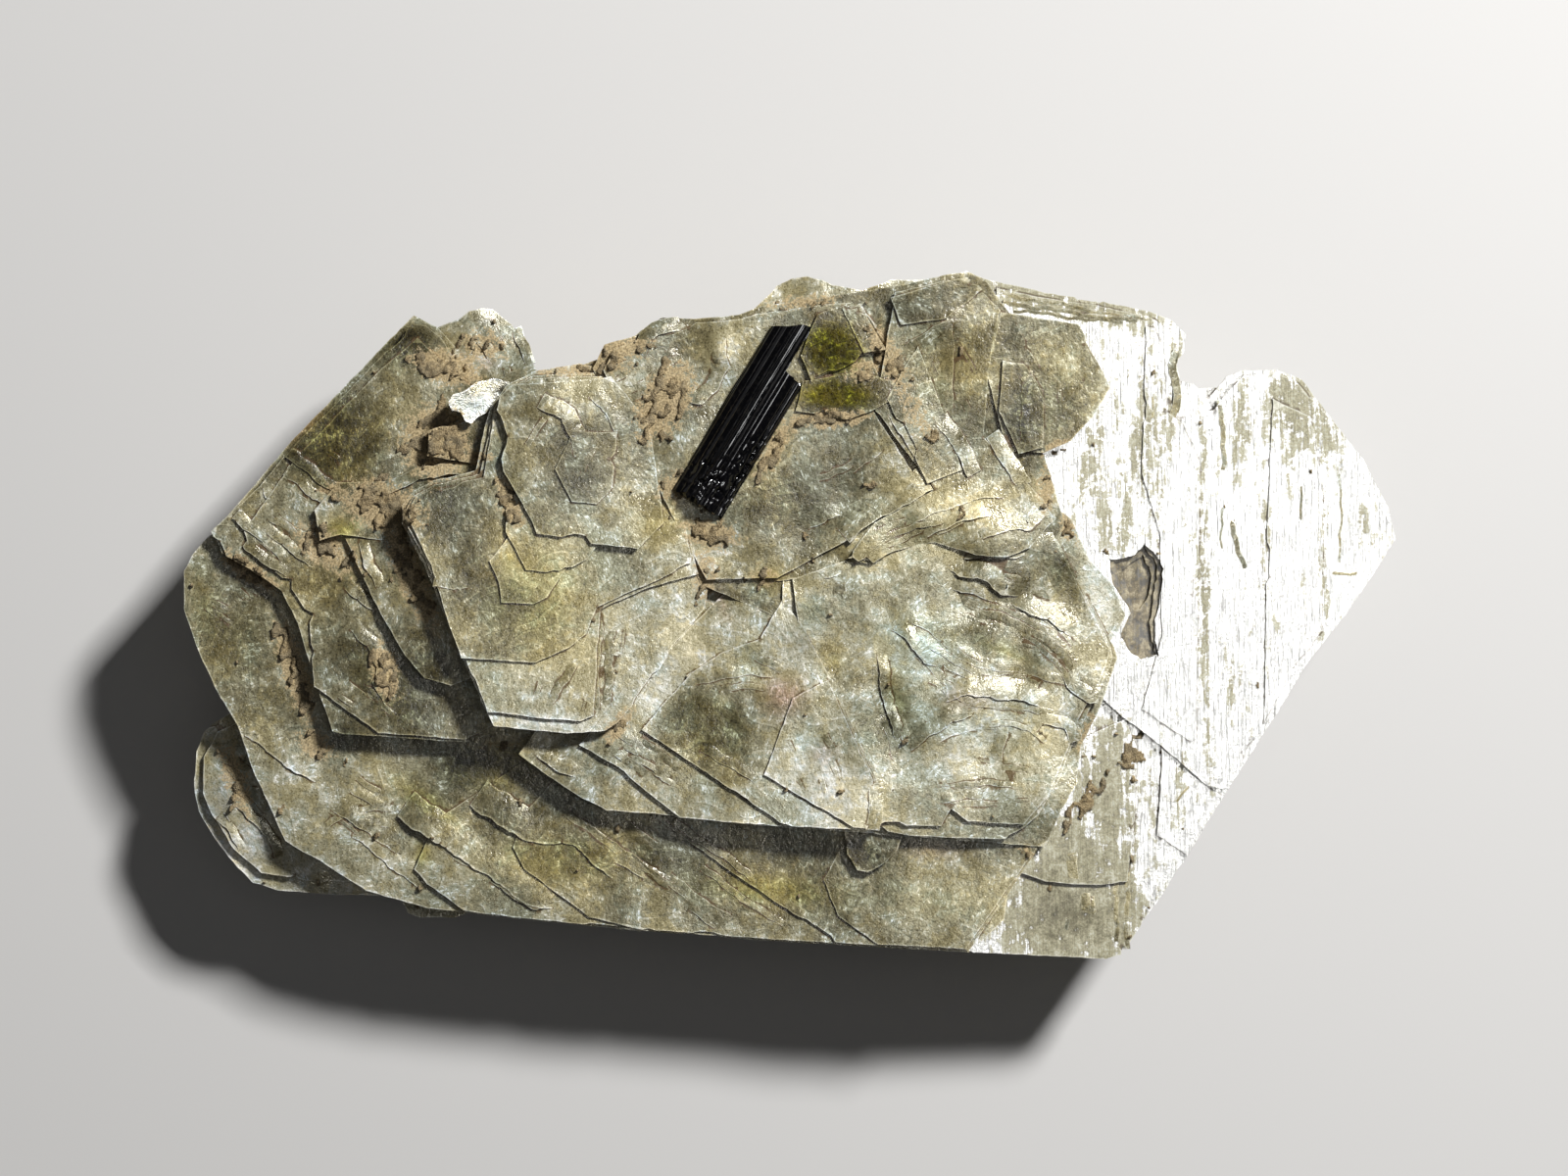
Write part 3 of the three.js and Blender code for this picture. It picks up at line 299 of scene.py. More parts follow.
# Soft lumps and hollows of the rumpled leaves, by book: place, radius, height.
LUMPS = {
    "right": places("""
    12 -3 2.6 0.7, 17.5 -7.5 2.2 0.4, 25.5 -3 2.2 0.45, 9.4 -8.6 1.6 -0.7, 17 1.6 2.4 -0.5,
    24 -8.8 1.6 0.35, 27.4 2.4 2 -0.35, 14.6 -12 2.4 0.35, 19.6 -13 2.2 -0.3, 22.4 -5.6 1.6 -0.35,
    6 -8 1.5 0.3"""),
    "upper": places("""
    12.6 9.6 1.5 0.35, 16.6 5.6 1.4 -0.35, 21.6 4.4 1.6 0.35, 5.6 11.6 1.8 -0.3, 2.2 8 3 -0.35, 8 7 2 0.4,
    20 8 3 0.4, 14 24 3.4 -0.3, -7 25.6 1.6 0.5"""),
    "lower": places("""
    -4 -4.6 1.8 -0.3, 2 -2 2 0.4"""),
    "front": places("""
    -12 14 4 -0.3, -24 21 3 0.25"""),
    "second": places("""
    -38 22.6 3 0.3, -46 2 3 -0.25"""),
    "base": places("""
    -46 -22 4 0.3, -53 -4 3 -0.25, -32 -24 4 0.3"""),
}

# Soft patches of colour: centre, half-widths, heading in degrees and strength.
PATCHES = {
    "clay": places("""
    -35 17 3 3.4 0 1, -40 10.6 4 2.4 -20 0.9, -45.5 6.4 4 1.8 -30 0.7, -37.4 4 1.3 5.5 24 0.9,
    -49 -5.5 1.2 5 18 0.9, -53.4 4.4 3.4 0.9 -33 0.9, -34 24.4 3.2 1.5 -15 1, -30.5 26.5 2.6 1.6 0 0.6,
    -40 -5.6 1.2 2.6 10 0.9, -47 -12.6 2 1.4 -40 0.7, -27.6 11 0.9 2.6 20 0.9, -12.4 21 2.2 4 -30 0.9,
    -17 26 3 1 10 0.9, -11.6 12.6 1.6 2 -30 0.6, -8 8 3 1.4 -10 0.8, -8.6 4 1.2 2.6 0 0.7,
    9.4 25.4 1.2 3.6 28 0.8, 3.4 19.2 4 0.7 4 1, -1.6 16.4 0.9 3.4 -30 0.8, 26 16.4 1.4 0.7 20 1,
    25 12.4 0.9 2.6 0 0.7, 27.2 8.6 0.9 1.6 20 0.7, -17 -10.8 2 0.8 50 0.9, 28.6 -19 1.1 3 -30 0.9,
    29.4 -12.6 1 3 0 0.8, -2.6 3.8 1.4 0.9 0 0.7, 33.6 -13 1.4 2.6 0 0.7, 30.6 -15.4 1.6 1.6 0 0.6,
    -55 -16.4 1.2 4 20 0.7, -31.4 15.6 2.4 0.7 0 0.8, 7 24 2 1 20 0.6, -20 24.2 5 0.7 4 0.7,
    12 20 1.2 4 30 0.5, 1 30.8 4 0.8 5 0.6, -45 12.2 1.6 1 0 0.6, -28.6 -12.8 3 0.7 0 0.4,
    23.6 -23.6 2.6 0.6 -20 0.5"""),
    "olive": places("""
    3.6 26 3.6 3.4 0 0.72, 4.4 21.6 4.4 2.2 0 0.72, 22.6 20 1 5 0 0.8, 28 19 2 2 0 0.4, -38 27 3 2.2 0 0.7,
    -44 17 5 4 45 1.1, -34.4 10 3 3 0 0.6, -22 16 5.5 4 0 0.45, -30 -15 5 2.8 0 1, -28 -19 4 2.6 0 0.6,
    26.4 4 1.8 4 20 0.7, 18.6 27 3.4 3 0 0.6, 6.4 13.4 3 2 20 0.3, -1.5 11 3 3.4 0 0.6,
    -10.5 27 3 1.6 0 0.5, 17.6 22 2 3 0 0.4, -52 -9 3.5 3.5 0 0.5, -40 -7 6 2.6 -50 0.9,
    -14.6 2 2.6 4 0 0.3, -8 -11 4.6 3.6 -30 1, 27 -29.5 3 2 0 0.5, -33 17 2 1 0 0.8, 7 -23.4 2 1.6 0 0.8,
    -36 -4 1.6 3 20 0.7, -31 5 2 4 0 0.5, -46 3 3 2 -40 0.5, -18 -23 7 1.6 -5 0.6, 0 -24.4 5 1.2 0 0.5,
    -54.6 -3 3.4 5 0 0.7, 16 -1.4 3 1 -15 0.4, -4.4 -12 3 1.4 -30 0.3, -43 -12 2.4 1.4 -20 0.6"""),
    # The light patches are paler places; some of them are painted light, lifting leaves that lie in shade or
    # catch a sheen, such as the rear-left leaf.
    "light": places("""
    3 -17 5 3.4 -35 1.1, -24 -10.4 5 0.9 -5 1.4, -12.6 -7 1.4 4 -38 1.3, 18 -12 9 6 0 0.8,
    15 -28 8 3 -5 0.7, 24 -9 3 1.6 -20 0.9, 0 -3 2.4 3 20 0.7, 30.4 2 1.4 4 18 1.2, -54.5 -21 4 5 -45 1,
    -18 4 5 5 0 0.8, -45 -26 5 1.4 -30 0.6, 14 -4 5 3.4 -15 0.6, -6.6 26.4 1 2 0 1, -26 -7 4 3 0 0.5,
    25 10 1.4 4 0 0.8, -34 -25 6 2.4 -5 0.4, 12 9 7 4 15 0.6, -18.4 22.6 4 0.6 3 0.8, -35 28 1.6 0.6 0 0.5,
    13 20 2 3 -20 0.4, -9 6 3 3 0 0.8, -46 11 4 1.6 -35 0.6, -50 -16 2 3 0 0.4, 30.6 24 1 4 0 0.7,
    -30 26 3 2 0 0.3, 9 27 2 2 0 0.5, -57 -10 1 6 15 0.6, 24 -18 4 2 0 0.6"""),
    "film": places("""
    27.4 -28 7.4 8 0 1.6, 31 -18 3 6 0 1.3, 31 -12 2.2 3 0 0.9, 50.6 19.6 5 4 -40 1.1, 44.5 18 2 5 0 0.7,
    31.6 13 3.4 8 0 0.75, 35.6 20 2 8 0 0.8, 40.6 4 0.7 14 0 0.8, 46.6 8 0.7 10 0 0.7, 52.8 6 0.7 9 0 0.7,
    38 26 0.9 2.4 0 1, 38.6 -17 2.4 6 -30 0.5, 27 31 10 1.6 -10 1.3, 57.6 9 1.4 4 30 0.4,
    37.4 21 0.8 4 0 0.6, 43.4 -8 1.2 6 0 0.35, 30 6 1.5 5 10 0.4, 33 -29 1.2 6 0 0.8"""),
    "yellow": places("""
    -25 2 6 7 0 0.7, -27.4 5.4 1.6 1.8 0 0.7, -46 17 4 4 0 0.7, -36.3 -23.5 1.1 1.3 0 0.9,
    -23 -24 9 3 -4 0.7, -2 -27 8 2 -5 0.8, 4 -4.4 1.1 1.6 0 0.7, 10.4 -8 0.9 2.6 10 0.6,
    21 -3.4 3.4 0.8 -25 0.7, -13 9 3 2.5 0 0.6, -57.4 0 1.8 5 10 0.6, -44 8.6 2 1.4 0 0.9,
    -2.4 3.8 1.4 1 0 1, 4 26 3 2.8 0 1.6, 4.4 21.6 4 1.6 0 1.5, -36 -18.4 5 1.4 -35 0.8, 13 9 8 4 20 0.4,
    -48 2 5 4 0 0.4, 26 22 4 6 0 0.5, 16 24 5 4 0 0.5, -38 26 3 3 0 0.5, 15 -28 8 2 -5 0.4,
    -9 -14 4 1.6 -35 0.4, 23 -14 3 4 0 0.3, -3 13 3 3 0 0.4"""),
    "blue": places("""
    -4.2 -4.4 1.3 2 0 0.6, 11 -5 2 1.5 -30 0.7, 13 -2.4 4.4 2.6 -10 0.8, 12 -8 3 4 0 0.5,
    20 -10 4 3 0 0.35, 2 0.7 1.1 1 0 0.9, -3.4 2.2 1.2 1 0 0.8, 7.4 -11.5 0.8 1.6 0 0.7,
    -28.7 16 0.6 1.6 0 0.8, 2 -12.4 2 1.2 0 0.6, -27 13 1 1.6 0 0.4, -37.4 -16 1 0.8 0 0.5,
    -30 -8 2 2 0 0.3, 26 14 1.6 1 0 0.4"""),
    "red": places("""
    -0.8 -8 2 1.8 0 1, 14 -23 3.4 0.8 0 0.5, 17 -8.4 3 1 0 0.35, -48 18.6 2.4 0.6 45 0.9,
    3 -13.4 1.2 0.8 0 0.5, -30 24.8 1 0.6 0 0.5, -7 1.6 0.6 2 20 0.5, -53.6 3.6 2.6 0.5 -33 0.5"""),
}

# The broken hollow beside the right leaf: how far down each part goes, and its outline.
BROKEN_TONE = -3
HOLLOW_TOP = 3
HOLLOW = table("""
    silver -0.35: 31 5.8, 33.6 6.2, 34.8 7.6, 36.2 6, 36.7 4.6, 36.6 1.6, 36 -0.4, 36.6 -4.4, 34.8 -4.8,
    33 -3.6, 32.2 -1.8, 33 0.2, 31.6 2.8;
    silver -0.8: 31.4 5.5, 33.4 5.9, 34.8 7.1, 35.8 5.8, 36.3 4.6, 36.1 1.6, 35.5 -0.6, 36.1 -3.9,
    34.8 -4.3, 33.3 -3.2, 32.7 -1.8, 33.5 0.2, 32.2 2.8;
    silver -1.3: 32.4 4.6, 33.4 5.3, 34.7 6.4, 35.4 5.4, 35.8 4.4, 35.5 1.8, 34.6 0.4, 33.8 0.4, 32.8 2.8""")

# The thickness of a thin leaf, how far it runs into the next, and the steps of outlines and of grids, in mm.
PITCH = 0.3
LAP = 0.16
EDGE_STEP = 0.7
TOP_STEP = 0.8
GRID_STEP = 1.6
EDGE_GAP = 0.4
GRID_SHIFT = 0.35
WELD = 1e-5
NO_LEAF = -100.0
# A thin leaf's edge: how far it is set in (the top one, the others), its wander, its jitter, and its nicks.
INSETS = (0.1, 0.34)
WANDERS = (0.06, 0.16)
JITTER = 0.08
STEPS_PER_NICK = 40
NICK_DEPTHS = (0.1, 0.55)
SHADE = 0.2

# Places across a lip, as shares of its fade (or mm, in front of its edge), and shares of its height.
LIP_PROFILE = ((-0.05, -0.15), (0, 1), (0.35, 0.95), (0.75, 0.45), (1, -0.1))
LIP_DEEP = 0.5


class Waves:
    """A smooth field made of sine waves in random directions, about -1 to 1."""

    def __init__(self, seed, length, terms=9):
        rng = random.Random(seed)
        self.terms = []
        for _ in range(terms):
            angle = rng.uniform(0, FULL_TURN)
            k = FULL_TURN / (length * rng.uniform(0.7, 1.6))
            self.terms.append((k * math.cos(angle), k * math.sin(angle), rng.uniform(0, FULL_TURN)))

    def __call__(self, x, y):
        total = sum(np.sin(kx * x + ky * y + phase) for kx, ky, phase in self.terms)
        return total / math.sqrt(len(self.terms))


SLOW_SEED, FINE_SEED = 100, 200
FIELDS = {book: (Waves(SLOW_SEED + int(seed), slow_length), Waves(FINE_SEED + int(seed), fine_length))
          for book, (*_, slow_length, _, fine_length, _, seed) in BOOKS.items()}


def surface(book, x, y):
    """The height of a book's plane, with its waves and lumps, at places in plan."""
    x0, y0, height, climb_x, climb_y, slow, _, fine, _, dome, _ = BOOKS[book]
    slow_field, fine_field = FIELDS[book]
    z = height + climb_x * (x - x0) + climb_y * (y - y0)
    z = z + slow * slow_field(x, y) + fine * fine_field(x, y)
    for lump_x, lump_y, radius, lift in LUMPS.get(book, ()):
        z = z + lift * np.exp(-((x - lump_x) ** 2 + (y - lump_y) ** 2) / radius ** 2)
    return z - dome * ((x - x0) ** 2 + (y - y0) ** 2)


def is_inside(outline, points):
    """Which points lie inside a closed outline."""
    x, y = points[:, 0][:, None], points[:, 1][:, None]
    ax, ay = outline[:, 0][None, :], outline[:, 1][None, :]
    bx, by = np.roll(outline[:, 0], -1)[None, :], np.roll(outline[:, 1], -1)[None, :]
    spans = (ay > y) != (by > y)
    with np.errstate(divide="ignore", invalid="ignore"):
        cross = (bx - ax) * (y - ay) / (by - ay) + ax
    return (np.sum(spans & (x < cross), axis=1) % 2) == 1


def leaf_top(book, points):
    """How far above its book's plane the highest leaf is at each point, or NO_LEAF."""
    best = np.full(len(points), NO_LEAF)
    for rows in LEAVES.values():
        for where, top, _, _, outline in rows:
            if where == book:
                best = np.where(is_inside(outline, points), np.maximum(best, top), best)
    return best


def on_one_leaf(book, points):
    tops = leaf_top(book, points)
    return tops.min() > NO_LEAF / 2 and np.ptp(tops) < 0.01


def side_of(way):
    """Unit vectors to the left of ways in plan."""
    return np.stack([-way[:, 1], way[:, 0]], axis=1) / np.maximum(1e-9, np.linalg.norm(way, axis=1))[:, None]


def new_mesh(name, points, faces):
    """A mesh in metres from points in mm."""
    mesh = bpy.data.meshes.new(name)
    mesh.from_pydata((np.array(points) * MM).tolist(), [], faces)
    return mesh


def tagged_mesh(points, faces, tone, walls):
    """A closed mesh whose faces carry a tone, and 1 where they are broken sides."""
    mesh = new_mesh("leaf", points, faces)
    mesh.attributes.new("tone", "FLOAT", "FACE").data.foreach_set("value", [tone] * len(faces))
    mesh.attributes.new("wall", "FLOAT", "FACE").data.foreach_set("value", walls)
    return mesh


def wedge(book, height, fade, path, rng, width=0.35, soft=0):
    """A leaf's edge along a path: a small step on the right, fading into the book on the left."""
    offset = float(np.median(leaf_top(book, path)))
    lengths = np.concatenate([[0], np.cumsum(np.linalg.norm(np.diff(path, axis=0), axis=1))])
    count = max(4, int(lengths[-1] / width))
    along = np.linspace(0, lengths[-1], count)
    plan = np.stack([np.interp(along, lengths, path[:, k]) for k in (0, 1)], axis=1)
    for _ in range(soft):
        plan[1:-1] = (plan[:-2] + 2 * plan[1:-1] + plan[2:]) / 4
    left = side_of(np.gradient(plan, axis=0))
    ragged = np.array([rng.uniform(-0.06, 0.06) for _ in range(count)])
    ragged += 0.1 * np.sin(along / 1.1 + rng.uniform(0, 6)) + 0.06 * np.sin(along / 0.4 + rng.uniform(0, 6))
    plan = plan + left * ragged[:, None]
    ends = np.minimum(1, np.minimum(along, along[-1] - along) / min(1.5, along[-1] / 3)) ** 0.7
    rise = height * ends * (0.85 + 0.15 * np.sin(along / 1.7 + rng.uniform(0, 6))) - 0.07 * (1 - ends)
    rings = []
    for shift, lift in LIP_PROFILE:
        place = plan + left * (shift * fade if shift > 0 else shift)
        top = surface(book, place[:, 0], place[:, 1]) + offset
        rings.append(np.column_stack([place, top + (np.minimum(rise * lift, rise) if lift > 0 else lift)]))
    rings += [ring - (0, 0, LIP_DEEP) for ring in (rings[-1], rings[0])]
    sides = len(rings)
    faces = [tuple(range(sides)), tuple(reversed([(count - 1) * sides + i for i in range(sides)]))]
    walls = [1, 1]
    for i in range(count - 1):
        for j in range(sides):
            a, b = i * sides + j, i * sides + (j + 1) % sides
            faces.append((a, a + sides, b + sides, b))
            walls.append(1 if j == 0 else 0)
    return tagged_mesh(np.stack(rings, axis=1).reshape(-1, 3), faces, rng.uniform(-0.25, 0.25), walls)


def lines(book, x, y, along, across, heading, count, height, rng):
    """A family of short fine edges that run the same way."""
    angle = math.radians(heading)
    way, side = np.array([math.cos(angle), math.sin(angle)]), np.array([-math.sin(angle), math.cos(angle)])
    made = []
    for _ in range(int(count)):
        middle = np.array([x, y]) + way * rng.uniform(-along, along) * 0.7
        middle = middle + side * rng.uniform(-across, across)
        half = rng.uniform(0.12, 0.5) * along
        bend = side * rng.uniform(-0.15, 0.15)
        path = np.array([middle - way * half, middle + bend, middle + way * half])
        up = side
        if rng.random() < 0.3:
            path, up = path[::-1], -side
        size = height * rng.uniform(0.5, 1.3)
        fade = max(0.3, size * rng.uniform(5, 14))
        if on_one_leaf(book, np.concatenate([path, path + up * (fade + 0.5), path - up * 0.5])):
            made.append(wedge(book, size, fade, path, rng, 0.6))
    return made


def flow(book, count, gap, height, path, rng):
    """Curved fine edges that follow one another like ripples along a path."""
    left = side_of(np.gradient(path, axis=0))
    spots = np.arange(len(path))
    made = []
    for k in range(int(count)):
        start = rng.uniform(0, 0.55) * spots[-1]
        end = min(spots[-1], start + rng.uniform(0.3, 0.9) * spots[-1])
        shift = (k - count / 2 + rng.uniform(-0.4, 0.4)) * gap
        bend = rng.uniform(-0.5, 0.5) * gap
        line = path + left * (shift + bend * np.sin(spots * 1.3 + k))[:, None]
        at = np.linspace(start, end, 12)
        line = np.stack([np.interp(at, spots, line[:, j]) for j in (0, 1)], axis=1)
        if rng.random() < 0.25:
            line = line[::-1]
        around = [line + shift for shift in ((0, 0), (0, 1), (1, 0), (0, -1), (-1, 0))]
        if on_one_leaf(book, np.concatenate(around)):
            size = height * rng.uniform(0.5, 1.4)
            made.append(wedge(book, size, rng.uniform(0.5, 1.5), line, rng, 0.4, 12))
    return made


def rough_outline(corners, rng, inset, wander, jitter, step=EDGE_STEP):
    """An outline cut into short steps and pushed in and out, as a broken leaf's edge is."""
    x, y = corners.T
    if np.sum(x * np.roll(y, -1) - np.roll(x, -1) * y) < 0:
        corners = corners[::-1]
    points = []
    for a, b in zip(corners, np.roll(corners, -1, axis=0)):
        count = max(1, int(round(np.linalg.norm(b - a) / step)))
        points.extend(a + (b - a) * i / count for i in range(count))
    points = np.array(points)
    inward = side_of(np.roll(points, -1, axis=0) - np.roll(points, 1, axis=0))
    n = len(points)
    along = np.arange(n) * step
    phase_a, phase_b = rng.uniform(0, 6.28), rng.uniform(0, 6.28)
    shift = inset + wander * (0.5 + 0.3 * np.sin(along / 1.9 + phase_a) + 0.2 * np.sin(along / 0.8 + phase_b))
    shift = shift + np.array([rng.uniform(0, jitter) for _ in range(n)])
    for _ in range(max(1, n // STEPS_PER_NICK)):
        at, wide, deep = rng.randrange(n), rng.randint(0, 2), rng.uniform(*NICK_DEPTHS)
        for i in range(at - wide, at + wide + 1):
            shift[i % n] += deep
    return points + inward * shift[:, None]


def grid_points(outline, seed, step):
    """Places inside an outline on a loose grid that is the same for every leaf of a book."""
    spans = [np.arange(math.ceil(low / step), math.floor(high / step) + 1)
             for low, high in zip(outline.min(axis=0), outline.max(axis=0))]
    gx, gy = (v.ravel() for v in np.meshgrid(*spans))
    shift_x = GRID_SHIFT * np.sin(gx * 12.9898 + gy * 78.233 + seed)
    shift_y = GRID_SHIFT * np.sin(gx * 39.3468 + gy * 11.135 + seed)
    points = np.stack([(gx + shift_x) * step, (gy + shift_y) * step], axis=1)
    points = points[is_inside(outline, points)]
    gaps = np.min(np.sum((points[:, None, :] - outline[None, :, :]) ** 2, axis=2), axis=1)
    return points[gaps > EDGE_GAP ** 2]


def slab_mesh(book, top, bottom, outline, tone, step=GRID_STEP):
    """One thin leaf between two heights above its book's plane, as a closed mesh."""
    n = len(outline)
    coords = [Vector(p) for p in np.concatenate([outline, grid_points(outline, BOOKS[book][-1], step)])]
    edges = [(i, (i + 1) % n) for i in range(n)]
    verts, _, faces, *_ = delaunay_2d_cdt(coords, edges, [], 1, WELD)
    plan = np.array([tuple(v) for v in verts])
    base = surface(book, plan[:, 0], plan[:, 1])
    count = len(plan)
    points = np.concatenate([np.column_stack([plan, base + height]) for height in (top, bottom)])
    made = [tuple(f) for f in faces]
    sides = {(a, b) for f in made for a, b in zip(f, f[1:] + f[:1])}
    made += [tuple(i + count for i in reversed(f)) for f in made]
    walls = [0] * len(made)
    for a, b in sorted(sides):
        if (b, a) not in sides:
            made.append((b, a, a + count, b + count))
            walls.append(1)
    return tagged_mesh(points, made, tone, walls)


def stack(book, top, depth, tone, corners, rng):
    """A leaf of the table as a pack of thin leaves, each with its own broken edge."""
    count = max(1, int(round(depth / PITCH)))
    rise = depth / count
    made = []
    for k in range(count):
        below = int(k > 0)
        outline = rough_outline(corners, rng, rng.uniform(0, INSETS[below]), WANDERS[below], JITTER)
        shade = tone + rng.uniform(-SHADE, SHADE)
        step = GRID_STEP if below else TOP_STEP
        made.append(slab_mesh(book, top - k * rise, top - (k + 1) * rise - LAP, outline, shade, step))
    return made


# The underside's terraces: the flat resting face, the rim, and thin leaves from one to the other.
FOOT = places("""-43 2, -42 -6, -38 -16, -31 -20, -9 -22.5, 14 -24, 25 -23, 33 -14, 37 -4, 33 8, 25 17, 13 21,
    -6 20, -19 18, -29 15, -38 9""")
RIM = places("""-55 4, -54 -6, -48 -20, -38 -26.6, -10 -29.4, 15 -31, 28 -31, 36 -21, 40 -6, 39 10, 33 24,
    16 29.5, -6 27, -21 24, -36 23.6, -47 14""")
TERRACES = 8
TERRACE_RISE = 1.6
THIN = 4
FOOT_EDGE_STEP = 1.0
FOOT_GRID_STEP = 6.0


def foot_leaves(rng):
    """The terraced underside, from the flat resting face out to the rim."""
    made = []
    for step in range(TERRACES):
        spread = (step / (TERRACES - 1)) ** 0.8
        shift = 0.05 * np.sin(2.3 * step + 1.9 * np.arange(len(FOOT))) if step else np.zeros(len(FOOT))
        corners = FOOT + (RIM - FOOT) * np.minimum(1, spread + shift)[:, None]
        for k in range(THIN):
            top = step * TERRACE_RISE + (THIN - k) * TERRACE_RISE / THIN
            lowest = step == 0 and k == THIN - 1
            bottom = 0 if lowest else top - TERRACE_RISE / THIN - LAP
            outline = rough_outline(corners, rng, rng.uniform(0, 0.7), 0.6, 0.15, FOOT_EDGE_STEP)
            made.append(slab_mesh("level", top, bottom, outline, rng.uniform(-0.4, 0.1), FOOT_GRID_STEP))
    return made


def add_object(name, data):
    """Puts a mesh, a lamp or a camera in the scene."""
    item = bpy.data.objects.new(name, data)
    bpy.context.scene.collection.objects.link(item)
    return item


def solved(piece, **settings):
    """The mesh of a piece after one Boolean step."""
    step = piece.modifiers.new("step", "BOOLEAN")
    step.solver = "MANIFOLD"
    for name, value in settings.items():
        setattr(step, name, value)
    return bpy.data.meshes.new_from_object(piece.evaluated_get(bpy.context.evaluated_depsgraph_get()))


def joined(name, meshes):
    """Joins closed meshes into one solid object."""
    spare = bpy.data.collections.new("spare")
    bpy.context.scene.collection.children.link(spare)
    first, *others = [bpy.data.objects.new("leaf", mesh) for mesh in meshes]
    bpy.context.scene.collection.objects.link(first)
    for other in others:
        spare.objects.link(other)
    result = solved(first, operation="UNION", operand_type="COLLECTION", collection=spare)
    for mesh in meshes:
        bpy.data.meshes.remove(mesh)
    bpy.data.collections.remove(spare)
    result.name = name
    return add_object(name, result)


def carved(piece, cutters):
    """Takes closed cutters out of a piece."""
    for mesh in cutters:
        tool = add_object("cutter", mesh)
        result = solved(piece, operation="DIFFERENCE", object=tool)
        piece.modifiers.clear()
        old = piece.data
        piece.data = result
        result.name = old.name
        bpy.data.objects.remove(tool)
        bpy.data.meshes.remove(old)
        bpy.data.meshes.remove(mesh)


def patch_field(kind, x, y):
    """How strongly the soft patches of one kind cover places in plan."""
    total = np.zeros_like(x)
    for px, py, wide, high, heading, strength in PATCHES[kind]:
        angle = math.radians(heading)
        u = (x - px) * math.cos(angle) + (y - py) * math.sin(angle)
        v = (y - py) * math.cos(angle) - (x - px) * math.sin(angle)
        total = np.maximum(total, strength * np.exp(-PATCH_FALL * ((u / wide) ** 2 + (v / high) ** 2) ** 1.5))
    return total


def colour_attribute(mesh, name, channels):
    data = np.ones((len(mesh.vertices), 4), dtype=np.float32)
    for i, values in enumerate(channels):
        data[:, i] = values
    mesh.attributes.new(name, "FLOAT_COLOR", "POINT").data.foreach_set("color", data.ravel())


CREASE = math.radians(24)
MARKED_BEND = 0.5
PATCH_FALL = 0.7


def finish_mesh(mesh, fade):
    """Crisp edges, and the marks that the materials read: rims, which carry painted highlights, feet of
    steps, which carry painted shade with dirt, and soft patches.
    """
    mesh.shade_smooth()
    mesh.set_sharp_from_angle(angle=CREASE)
    work = bmesh.new()
    work.from_mesh(mesh)
    rim, foot = np.zeros(len(work.verts)), np.zeros(len(work.verts))
    for edge in work.edges:
        bend = edge.calc_face_angle_signed(0)
        if abs(bend) > MARKED_BEND:
            target = rim if bend > 0 else foot
            for vert in edge.verts:
                target[vert.index] = 1
    work.free()
    spots = np.zeros(len(mesh.vertices) * 3)
    mesh.vertices.foreach_get("co", spots)
    x, y, _ = spots.reshape(-1, 3).T / MM
    for name, kinds in (("marks", ("clay", "olive", "light")), ("stains", ("yellow", "blue", "red"))):
        colour_attribute(mesh, name, [fade * patch_field(kind, x, y) for kind in kinds])
    colour_attribute(mesh, "edges", [rim, foot, patch_field("film", x, y)])


# The clay's grid, how deep it is bedded and how thick it lies, the seed of its lumps and its steepest step.
CRUST_STEP = 0.2
CRUST_DEEP = 0.45
CRUST_THICK = 0.28
CRUST_SEED = 300
CRUST_CLIMB = 0.9
CRUST_NEIGHBOURS = 6
ABOVE_ALL = 0.05


def crust(name, tree):
    """A crumbly film of clay over the places of its patches."""
    gx, gy = np.meshgrid(np.arange(-60, 60, CRUST_STEP), np.arange(-34, 34, CRUST_STEP), indexing="ij")
    broad, small, grain = (Waves(CRUST_SEED + k, size)(gx, gy) for k, size in enumerate((5, 1.6, 0.7)))
    crumb = np.random.default_rng(CRUST_SEED).normal(0, 0.05, gx.shape)
    cover = patch_field("clay", gx, gy) - 0.6 + 0.2 * broad + 0.32 * small + 0.18 * grain
    height = np.full(gx.shape, np.nan)
    for i, j in zip(*np.nonzero(cover > -0.08)):
        hit = tree.ray_cast(Vector((gx[i, j] * MM, gy[i, j] * MM, ABOVE_ALL)), Vector((0, 0, -1)))
        if hit[0] is not None:
            height[i, j] = hit[0].z / MM
    film = CRUST_THICK * np.clip(cover / 0.3, -0.3, 1) * (0.7 + 0.3 * small) + 0.12 * grain + crumb
    heights, films = (np.stack([v[:-1, :-1], v[1:, :-1], v[:-1, 1:], v[1:, 1:]]) for v in (height, film))
    cells = ~np.isnan(heights).any(axis=0)
    cells &= (np.ptp(np.nan_to_num(heights), axis=0) < CRUST_CLIMB) & (films.max(axis=0) > 0.02)
    near = sum(np.roll(cells, (di, dj), axis=(0, 1)).astype(int) for di in (-1, 0, 1) for dj in (-1, 0, 1))
    cells &= near >= CRUST_NEIGHBOURS
    index, points, faces = {}, [], []

    def corner(i, j):
        if (i, j) not in index:
            index[i, j] = len(points)
            points.extend((gx[i, j], gy[i, j], height[i, j] + lift) for lift in (film[i, j], -CRUST_DEEP))
        return index[i, j]

    for i, j in zip(*np.nonzero(cells)):
        a, b, c, d = corner(i, j), corner(i + 1, j), corner(i + 1, j + 1), corner(i, j + 1)
        faces += [(a, b, c, d), (d + 1, c + 1, b + 1, a + 1)]
        for (p, q), (di, dj) in (((a, b), (0, -1)), ((b, c), (1, 0)), ((c, d), (0, 1)), ((d, a), (-1, 0))):
            ni, nj = i + di, j + dj
            inside = 0 <= ni < cells.shape[0] and 0 <= nj < cells.shape[1]
            if not (inside and cells[ni, nj]):
                faces.append((q, p, p + 1, q + 1))
    mesh = new_mesh(name, points, faces)
    mesh.shade_smooth()
    return add_object(name, mesh)


